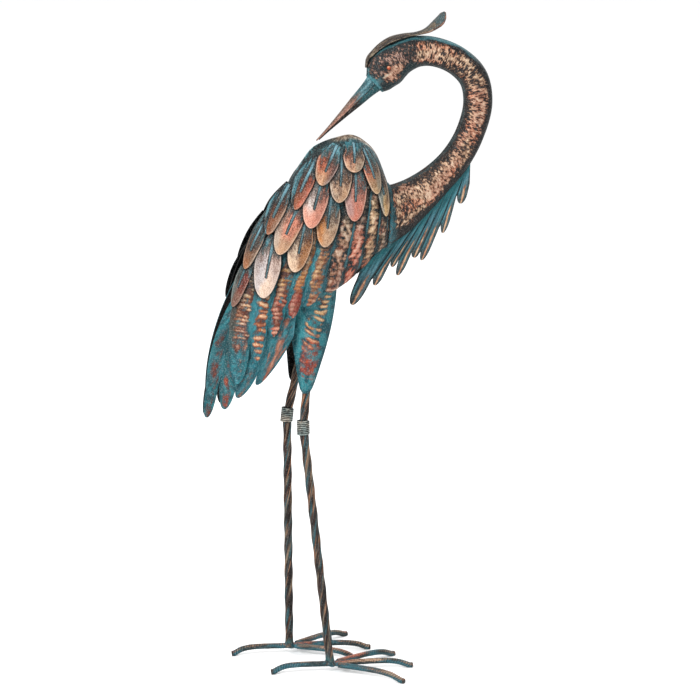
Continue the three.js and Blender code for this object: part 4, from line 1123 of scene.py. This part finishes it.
def mandible(upper):
    slimmer, reach = (1.0, 1.0) if upper == 1 else (0.9, 0.97)
    share = down(90)
    # Round the half: over its arc, then back along its flat side
    arc = np.linspace(0, math.pi, 27)
    flat = np.linspace(-1, 1, 9)[1:-1]
    rise = np.concatenate([np.sin(arc) ** 0.9, 0 * flat])[None, :]
    side = np.concatenate([np.cos(arc), flat])[None, :]
    up = np.array([BEAKWARD[1], -BEAKWARD[0]]) * upper
    sunk = BEAKWARD * BEAK_SUNK
    centre = BEAK_BASE - sunk + (BEAK_TIP - BEAK_BASE + sunk) * share * reach
    high_by = 0.15 + beak_tall(share) * rise * slimmer
    x = centre[:, :1] + up[0] * high_by
    z = centre[:, 1:] + up[1] * high_by
    y = -upper * beak_deep(share) * side * slimmer
    run = share * BEAK_LENGTH + 0 * rise
    flow = xyz(run, y, high_by) + (0 if upper == 1 else 400)
    grain = Grain(flow, 850)
    worn = grain.even(0, (16, 2.5))
    lip = (1 - step(0.0, 0.16, rise)) + 0 * run
    if upper == 1:
        high = blend((196, 142, 122), (150, 126, 112), step(0.35, 0.75, rise) + 0 * run)
        # A cream line along the edges, a painted highlight
        high = blend(high, CREAM, 0.55 * lip)
        washed = blend((98, 146, 156), (44, 88, 96), grain.spots(1, (12, 2), 0.35, 0.65))
        low = blend(washed, (74, 60, 56), step(18, 44, run + 14 * (worn - 0.5)))
        relief = step(10, 46, run + 24 * (worn - 0.5)) * 0.68 + 0.4 * lip * step(10, 30, run)
    else:
        high = blend((124, 84, 66), COPPER, 0.5 * lip)
        # Teal at the base turning near black towards the tip: partly dark paint, partly painted shade under
        # the upper half
        low = blend((32, 88, 94), (26, 25, 25), step(22, 44, run + 10 * (worn - 0.5)))
        relief = 0.12 + 0.3 * worn + 0.25 * lip
    return Patch(xyz(x, y, z), flow, low, high, relief)


CREST_LINE = [
    (21.6, 826), (23.5, 838), (31, 847.5), (42, 857.5), (56, 865.5), (73, 869.4),
    (90, 871.4), (103, 876), (114, 884.5), (122, 892), (128, 898.6),
]
crest_width = profile([
    (0, 2.4), (0.2, 8), (0.4, 11.5), (0.58, 7), (0.66, 7), (0.82, 10.5), (0.94, 8), (1, 3),
])
crest_droop = profile([(0, 0.5), (0.4, 3.4), (0.6, 1.6), (0.85, 4.6), (1, 1)])


def crest():
    rows = 120
    centre, along = spline(CREST_LINE, rows)
    t = down(rows)
    c = np.linspace(1, -1, 25)[None, :]
    width = crest_width(t) * np.sqrt(1 - np.clip((t - 0.95) / 0.053, 0, 1) ** 2)
    drop = -crest_droop(t) * c * c
    aside = c * width
    twist = np.radians(mix(12, 28, step(0.55, 0.9, t)))
    y = aside * np.cos(twist) - drop * np.sin(twist)
    lift = drop * np.cos(twist) + aside * np.sin(twist)
    points = xyz(centre[:, :1] - along[:, 1:] * lift, y, centre[:, 1:] + along[:, :1] * lift)
    flow = xyz(t * 130, aside, 0) + 60
    grain = Grain(flow, 870)
    edge = width * (1 - np.abs(c))
    worn = grain.rough(0, (8, 2))
    lit = step(0.5, 0.75, t) * step(-0.1, 0.6, c + 0.6 * (worn - 0.5))
    high = blend((150, 138, 116), (214, 176, 144), lit)
    high = blend(high, (154, 84, 64), 0.9 * (1 - step(0.6, 1.6, edge)) * step(0.5, 0.9, t))
    low = blend((50, 48, 46), (66, 88, 92), step(0.55, 0.75, t + 0.3 * (worn - 0.5)) + 0 * c)
    low = blend(low, (20, 24, 25), 0.8 * (1 - step(0.8, 2.4, edge)))
    relief = 0.42 + 1.1 * (worn - 0.5) + 0.5 * hump(edge, 1.0, 0.9) - 0.2 * step(0.84, 0.93, t)
    return [Patch(points, flow, low, high, relief)]


EYE_X, EYE_OUT, EYE_Z = 49, 19.6, 826.5


def eye(side):
    turn = around(28)
    rise = np.linspace(0, math.pi / 2 * 0.97, 12)[:, None]
    wide, out = 3.2 * np.cos(rise), 3.0 * np.sin(rise)
    flow = xyz(EYE_X + wide * np.cos(turn), EYE_OUT + out, EYE_Z + wide * np.sin(turn))
    # The bead's upper half is lighter, a painted highlight
    high = blend((190, 92, 62), (246, 186, 150), step(826, 829, flow[..., 2]))
    relief = 0.2 + 0.6 * step(0.2, 0.9, np.sin(rise))
    if side == "right":
        return Patch(flow * MIRROR, flow, BROWN, high, relief)
    return Patch(flow, flow, BROWN, high, relief).turned_over()


PLUME_TOPS = [
    (168.5, 697), (162, 684), (151, 669.5), (135, 653), (122.5, 640.5),
    (113, 632), (103, 623.5), (77, 602), (20, 555),
]
PLUME_NOTCHES = [
    (165, 668), (147, 652), (124, 610), (96.5, 574.5), (86.5, 577),
    (68, 566), (57, 564), (31, 540), (9, 538),
]
PLUME_TIPS = [(152, 641), (128, 601), (99, 564), (88, 568), (66, 544), (58, 556), (34, 531), (3, 505)]


def plume():
    patches = []
    tops = [(x - 3.0, z + 4.0) for x, z in PLUME_TOPS]  # sunk in the neck's underside
    for k in range(len(PLUME_TIPS)):
        lobe = comb_lobe(tops, PLUME_NOTCHES, PLUME_TIPS, k, (0, 0), 44, 26, 17, 2.6)
        places, a, _, s, run, across = lobe
        x, z = np.moveaxis(places, -1, 0)
        flow = xyz(run, across, 0) + 90 + 23 * k
        grain = Grain(flow, 900 + k)
        reach = run / run.max()
        rib = np.exp(-(((a + 0.12) / 0.3) ** 2)) * step(0.25, 0.5, reach)
        rim = step(0.7, 0.98, np.abs(a)) * step(0.3, 0.6, reach) + step(0.9, 1, s)
        out = 2.5 + 0.012 * (x - 90) + 0.03 * (640 - z)
        dome = 1 - np.abs(a) ** 2
        y = out - 0.3 - 1.9 * dome * step(0.05, 0.5, reach) - 0.6 * rib
        worn = grain.rough(0, (7, 1.6))
        ridge = np.exp(-(((a + 0.12) / 0.16) ** 2))
        free = step(0.3, 0.72, reach)
        high = blend((196, 136, 102), (156, 132, 118), step(0.45, 0.75, worn))
        # A bright line along each lobe's ridge, a painted highlight
        high = blend(high, (248, 206, 160), 0.9 * ridge * step(0.4, 0.6, worn))
        low = blend(BRIGHT_TEAL, (112, 164, 182), grain.even(20, (18, 6)))
        low = blend(low, TEAL, 1 - step(0.1, 0.4, reach))
        shade = step(0.62, 0.97, np.abs(a)) * step(0.12, 0.4, reach)
        shade = np.maximum(shade, 0.8 * hump(a, 0.34, 0.26) * free)
        low = blend(low, (14, 30, 34), 0.95 * shade)
        low = blend(low, (20, 60, 68), 0.45 * grain.spots(40, (22, 1.8), 0.5, 0.7))
        bare = np.maximum(0.5 * free * step(-0.5, 0.2, -a), 0.7 * step(0.72, 0.97, reach))
        low = blend(low, (66, 60, 56), bare)
        relief = 0.08 + 0.8 * rib * free + 0.3 * free * rim + 0.65 * (worn - 0.5) - 0.3 * shade
        patches.append(Patch(xyz(x, y, z), flow, low, high, relief).turned_over())
    return patches


# The legs and feet

BAR = 8.0
BAR_TURN = 144
LEG_SIDE = 38.5
KNEE_GAP = 1.2
TOE_LEVEL = 11
TOE_RADIUS = 4.0
COIL_RADIUS = 8.8
COIL_HALF = 11.5
COIL_TURNS = 8.0
WIRE = 1.42  # the wire's radius
RIB_PITCH = 3.6
HIND_TOE, MIDDLE_TOE, SIDE_TOE = 82, 116, 114
OUTER_SPREAD, INNER_SPREAD = 36, 29
# Each leg: the way out from the middle plane, its hip, knee and foot, and the length of its inner toe
LEGS = {
    "left": (1, (-40, 33.5, 534), (-82, LEG_SIDE, 348), (-79, 50), 103),
    "right": (-1, (-54, -LEG_SIDE, 534), (-70, -LEG_SIDE, 346), (-34, -LEG_SIDE), SIDE_TOE),
}


def along_line(start, end, n):
    axis = end - start
    length = np.linalg.norm(axis)
    axis = axis / length
    front = np.cross([0, 1, 0], axis)
    front /= np.linalg.norm(front)
    return axis, front, np.cross(axis, front), np.linspace(0, length, n)[:, None]


def bar(start, end, first_turn, seed):
    """A square bar with worn corners, twisted about its own line."""
    length = np.linalg.norm(end - start)
    axis, front, side, run = along_line(start, end, int(length / 1.6))
    turn = around(32)
    corner = (np.abs(np.cos(turn)) ** 1.25 + np.abs(np.sin(turn)) ** 1.25) ** (-1 / 1.25)
    radius = BAR * math.sqrt(0.5) * (0.35 + 0.65 * corner) * 1.08
    twisted = first_turn + 2 * math.pi * run / BAR_TURN + turn
    flow = xyz(run, radius * np.cos(turn), radius * np.sin(turn)) + seed
    grain = Grain(flow, seed)
    worn = grain.rough(0, (24, 1.1))
    radius = radius + 0.25 * (grain.rough(1, (5, 2.5)) - 0.5)
    points = ring(start + axis * run[..., None], front, side, radius, twisted)
    ridge = np.abs(np.cos(2 * turn)) ** 3 + 0 * run
    high = blend((150, 112, 86), (124, 114, 98), grain.spots(2, (30, 2.2), 0.4, 0.62))
    high = blend(high, (206, 136, 94), 0.5 * grain.spots(3, (26, 1.4), 0.56, 0.72))
    low = blend((22, 17, 16), (48, 90, 98), grain.spots(4, (34, 1.8), 0.53, 0.68))
    low = blend(low, (66, 34, 28), 0.5 * grain.spots(5, (24, 1.6), 0.55, 0.75))
    relief = 0.22 + 0.34 * ridge + 1.5 * (worn - 0.5)
    near_ends = np.minimum(run, length - run) + 0 * turn
    low = blend(low, (66, 122, 124), 0.7 * (1 - step(2, 14, near_ends)))
    relief = relief - 0.35 * (1 - step(2, 12, near_ends))
    return Patch(points, flow, low, high, relief)


def wound_wire(low_end, high_end, seed):
    """Close turns of round wire, as one helical tube."""
    axis, front, side, _ = along_line(low_end, high_end, 2)
    length = np.linalg.norm(high_end - low_end)
    t = down(260)
    spin = 2 * math.pi * COIL_TURNS * t
    outward = ring(0, front, side, 1, spin)
    ends = 1 - 0.35 * (step(0.97, 1, t) + 1 - step(0, 0.03, t))
    middle = low_end + axis * mix(WIRE, length - WIRE, t)[..., None]
    middle = middle + outward * ((COIL_RADIUS - WIRE) * ends)[..., None]
    round_wire = around(12)
    points = ring(middle, outward, axis, WIRE, round_wire)
    flow = points + seed
    grain = Grain(flow, seed)
    crown = np.cos(round_wire) + 0 * t
    # Painted light on the wire: painted shade near black between the turns and on their inside, and a
    # painted highlight along each turn's outer crown
    high = blend((146, 172, 172), (226, 214, 196), grain.even(0, (6, 6)))
    low = blend((4, 7, 8), (26, 52, 58), step(0.2, 0.9, crown))
    relief = -0.12 + 0.95 * step(0.68, 1.0, crown) + 0.4 * (grain.even(1, (3, 3)) - 0.5)
    return Patch(points, flow, low, high, relief).turned_over()


toe_rise = profile([(0, 0), (0.4, 0.8), (0.68, 0.4), (0.84, -2.4), (0.96, -7.5), (1, -7.9)])
TOE_SHARES = np.array([0.12, 0.35, 0.58, 0.74, 0.84, 0.91, 0.96, 1])


def toe_line(hub, heading, length):
    turn = math.radians(heading)
    flat = np.stack([math.cos(turn) * TOE_SHARES, math.sin(turn) * TOE_SHARES], -1) * length + hub
    return np.column_stack([flat, TOE_LEVEL + toe_rise(TOE_SHARES)])


def rod(line, seed, start_at=None):
    """A ribbed rod along a line of points, flattened where it stands on the ground."""
    n = 260 if start_at is None else 150
    centre, along = spline(line, n)
    level = np.cross([0, 0, 1], along)
    level /= np.linalg.norm(level, axis=1, keepdims=True)
    up = np.cross(along, level)
    run = run_along(centre)
    turn = around(24)
    ribs = np.maximum(0, np.cos(2 * math.pi * (run / RIB_PITCH) + 3 * turn))
    flow = xyz(run, 3.5 * np.cos(turn), 3.5 * np.sin(turn)) + seed
    grain = Grain(flow, seed)
    radius = TOE_RADIUS - 0.2 + 0.38 * ribs + 0.3 * (grain.even(0, (5, 3)) - 0.5)
    radius = radius * (1 - 0.12 * (1 - step(0, 1.5, run[-1] - run)))
    points = ring(centre[:, None], level[:, None], up[:, None], radius, turn)
    points[..., 2] = np.maximum(0, points[..., 2])
    if start_at is not None:
        hub, own, away = start_at
        gap = TOE_RADIUS + 0.1 - (points[..., :2] - hub) @ away
        points[..., :2] += own * (np.maximum(0, gap) / (own @ away))[..., None]
    crown = np.sin(turn) + 0 * run
    patches = grain.even(1, (26, 5))
    high = blend((208, 174, 146), (206, 126, 102), grain.spots(5, (40, 9), 0.5, 0.75))
    high = blend(high, (120, 118, 106), 0.6 * grain.spots(2, (20, 5), 0.5, 0.75))
    low = blend((58, 78, 80), (64, 128, 142), grain.spots(3, (18, 5), 0.25, 0.55))
    # Painted shade on the toe's underside
    low = blend(low, (28, 34, 36), 0.7 * step(0.6, 1.0, -crown))
    low = blend(low, (16, 26, 29), 0.5 * (1 - step(0.05, 0.5, ribs)))
    relief = 0.4 * step(-0.1, 0.7, crown) + 0.42 * ribs - 0.05 + 0.8 * (patches - 0.5)
    # Less rubbed on the underside, as painted shade
    relief = relief - 0.3 * step(0.2, 0.8, -crown)
    from_end = run[-1] - run + 0 * turn
    if start_at is None:
        from_end = np.minimum(from_end, run)
    cut = 1 - step(0.5, 3.5, from_end)
    low, high = blend(low, (44, 34, 30), 0.8 * cut), blend(high, (120, 74, 56), 0.7 * cut)
    return Patch(points, flow, low, high, relief)


def weld(name, centre, size, seed):
    """A lump of weld metal: a ball pressed out of round by noise."""
    turn = around(36)
    rise = np.linspace(-math.pi / 2 * 0.98, math.pi / 2 * 0.98, 24)[:, None]
    ball = xyz(np.cos(rise) * np.cos(turn), np.cos(rise) * np.sin(turn), np.sin(rise))
    lumps = 1 + 0.34 * (rough_noise(ball * 9 + seed, 5, seed) - 0.5)
    points = ball * lumps[..., None] * np.array(size, float) + np.array(centre, float)
    flow = points + seed
    grain = Grain(flow, seed)
    low = blend((44, 96, 108), (70, 132, 148), grain.even(1, 4))
    patch = Patch(points, flow, low, (142, 138, 124), 0.1 + 0.5 * grain.even(2, 3))
    return add_tube(name, None, patch, ROD_METAL, sharp_ends=False)


def skirt(name, foot, top, seed):
    """The fillet of weld that spreads from the leg's end onto the foot."""
    rise = down(22)
    turn = around(32)
    centre = mix(foot, top, rise[..., None])
    radius = 4.3 + 3.4 * (1 - rise) ** 2.2
    flow = xyz(rise * 14, 5 * np.cos(turn), 5 * np.sin(turn)) + seed
    grain = Grain(flow, seed)
    radius = radius + grain.rough(0, (4, 3)) - 0.5
    points = ring(centre, np.array([1.1, 0, 0]), np.array([0, 1, 0]), radius, turn)
    low = blend((48, 108, 120), (30, 52, 56), grain.even(1, 5))
    patch = Patch(points, flow, low, (134, 120, 102), 0.15 + 0.45 * grain.even(2, (6, 2)))
    return add_tube(name, None, patch, ROD_METAL, sharp_ends=False)


def leg(side):
    out, hip, knee, hub, inner_length = LEGS[side]
    hip, knee, hub = (np.array(place, float) for place in (hip, knee, hub))
    seed = 1000 if side == "left" else 1300
    foot = np.array([*hub, TOE_LEVEL + TOE_RADIUS - 0.5])
    up = (hip - knee) / np.linalg.norm(hip - knee)
    down = (foot - knee) / np.linalg.norm(foot - knee)
    coil_axis = (up - down) / np.linalg.norm(up - down)
    thigh_bar = bar(knee + up * KNEE_GAP, hip, 0.4, seed)
    add_tube(side + "_upper_leg_bar", side + "_upper_leg", thigh_bar, BAR_METAL)
    add_tube(side + "_lower_leg_bar", side + "_lower_leg", bar(foot, knee, 0.0, seed + 40), BAR_METAL)
    wire = wound_wire(knee - coil_axis * COIL_HALF, knee + coil_axis * COIL_HALF, seed + 80)
    add_tube(side + "_knee_wire", side + "_knee_coil", wire, ROD_METAL)
    long_toe = np.concatenate([toe_line(hub, 180, HIND_TOE)[::-1], toe_line(hub, 0, MIDDLE_TOE)])
    add_tube(side + "_long_toe_rod", side + "_long_toe", rod(long_toe, seed + 120), ROD_METAL)
    side_toes = (("inner", -INNER_SPREAD, inner_length), ("outer", OUTER_SPREAD, SIDE_TOE))
    for label, outwards, length in side_toes:
        spread = outwards * out
        own = np.array([math.cos(math.radians(spread)), math.sin(math.radians(spread))])
        away = np.array([0.0, math.copysign(1, spread)])
        toe = rod(toe_line(hub, spread, length), seed + 160 + spread, (hub, own, away))
        add_tube(f"{side}_{label}_toe_rod", f"{side}_{label}_toe", toe, ROD_METAL)
    skirt(side + "_foot_fillet", np.array([*hub, 10.0]), foot + (knee - foot) * 0.035, seed + 200)
    weld(side + "_foot_weld", (hub[0] + 2.5, hub[1], 11.0), (7.0, 5.2, 4.8), seed + 210)
    weld(side + "_toe_weld", (hub[0] + 11, hub[1], 10.8), (8.0, 5.4, 3.8), seed + 220)


def neck_weld():
    """The bead round the neck where it is welded to the breast."""
    turn = np.linspace(0, 2 * math.pi, 300)[:-1, None]
    x, z, tall, deep = NECK[0]
    out = xyz(0, -np.cos(turn) * (deep + 0.2), (tall + 0.4) * np.sin(turn))
    unit = out / np.linalg.norm(out, axis=-1, keepdims=True)
    beads = 1.7 + 0.5 * np.cos(turn * 62) ** 2 + 0.8 * (noise(out, 7, 1500) - 0.5)
    centre = np.array([x - 0.2, 0, z]) + out * 0.985
    points = ring(centre, unit, np.array([1.15, 0, 0]), beads, around(14))
    grain = Grain(points, 1500)
    low = blend((30, 84, 94), (64, 128, 142), grain.even(1, 5))
    patch = Patch(points, points, low, (136, 128, 112), 0.1 + 0.5 * grain.even(2, 3))
    rows, columns = points.shape[:2]
    quads = grid_quads(rows, columns, closed=True)
    closing = grid_quads(2, columns, closed=True)
    closing = np.where(closing < columns, closing + (rows - 1) * columns, closing - columns)
    faces = np.concatenate([quads, closing])[:, ::-1].tolist()
    paint = [getattr(patch, field).reshape(-1, 3) for field in ("flow", "low", "high")]
    paint.append(patch.relief.ravel())
    return add_piece("neck_weld_bead", None, points.reshape(-1, 3), faces, paint, NECK_METAL)


add_tube("body_skin", "body_shell", body(), NECK_METAL)
add_tube("neck_skin", "neck_and_head", neck(), NECK_METAL)
add_tube("upper_beak_skin", "upper_beak", mandible(1), FEATHER_METAL)
add_tube("lower_beak_skin", "lower_beak", mandible(-1), (FEATHER_METAL[0], "hammered_copper"))
add_sheet("crest_strip", "crest", crest(), SHEET, FEATHER_METAL, inside=None)
add_sheet("plume_comb", "breast_plume", plume(), SHEET, PLUME_METAL, inside=None)
neck_weld()
for side in ("left", "right"):
    add_tube(side + "_eye_bead", side + "_eye", eye(side), EYE_METAL, sharp_ends=False)
    combs = (
        ("_wing_comb", "_wing_flutes", flutes("wing", side)),
        ("_tail_comb", "_tail_feathers", flutes("tail", side)),
        ("_thigh_leaf", "_thigh", thigh(side)),
    )
    for name, node, patches in combs:
        patches = patches if side == "left" else mirrored(patches)
        add_sheet(side + name, side + node, patches, SHEET, FLUTE_METAL)
    for name in FEATHERS:
        patches = [feather(name, side)]
        patches = patches if side == "left" else mirrored(patches)
        blade, node = f"{side}_{name}_blade", f"{side}_feather_{name}"
        add_sheet(blade, node, patches, FEATHER_SHEET, FEATHER_METAL, inside=(14, 26, 30))
    leg(side)

# The stage: a pale floor under a white sky, a broad soft key light from the upper left and a weak fill

scene = bpy.context.scene
floor_mesh = bpy.data.meshes.new("floor")
floor_mesh.from_pydata([(-60, -60, 0), (60, -60, 0), (60, 60, 0), (-60, 60, 0)], [], [(0, 1, 2, 3)])
floor = bpy.data.objects.new("floor", floor_mesh)
scene.collection.objects.link(floor)
floor_paint = bpy.data.materials.new("floor")
floor_paint.use_nodes = True
floor_shader = floor_paint.node_tree.nodes["Principled BSDF"]
floor_shader.inputs["Base Color"].default_value = (0.98, 0.98, 0.98, 1)
floor_shader.inputs["Roughness"].default_value = 0.9
floor_shader.inputs["Specular IOR Level"].default_value = 0.1
floor_mesh.materials.append(floor_paint)

world = bpy.data.worlds.new("sky")
world.use_nodes = True
sky = world.node_tree.nodes["Background"]
sky.inputs["Color"].default_value = (1, 1, 1, 1)
sky.inputs["Strength"].default_value = 1.03
scene.world = world


def lamp(name, place, target, size, watts):
    light = bpy.data.lights.new(name, "AREA")
    light.shape = "SQUARE"
    light.size = size
    light.energy = watts
    holder = bpy.data.objects.new(name, light)
    holder.location = place
    holder.rotation_euler = (Vector(target) - Vector(place)).to_track_quat("-Z", "Y").to_euler()
    scene.collection.objects.link(holder)


lamp("key", (-1.9, -2.6, 2.7), (0, 0, 0.55), 1.1, 130)
lamp("back", (1.8, 2.8, 2.4), (0, 0, 0.55), 2.2, 45)

camera_data = bpy.data.cameras.new("camera")
camera_data.sensor_width = 36
camera_data.lens = 117
camera_data.clip_start, camera_data.clip_end = 0.05, 200
camera = bpy.data.objects.new("camera", camera_data)
DISTANCE, EYE_HEIGHT, YAW, PITCH = 3.05, 1.014, math.radians(9), math.radians(10.6)
camera.location = (
    -DISTANCE * math.sin(YAW) + SHIFT[0] / 1000,
    -DISTANCE * math.cos(YAW) + SHIFT[1] / 1000,
    EYE_HEIGHT,
)
camera.rotation_euler = Euler((math.pi / 2 - PITCH, 0, -YAW))
scene.collection.objects.link(camera)
scene.camera = camera
scene.view_settings.view_transform = "Standard"
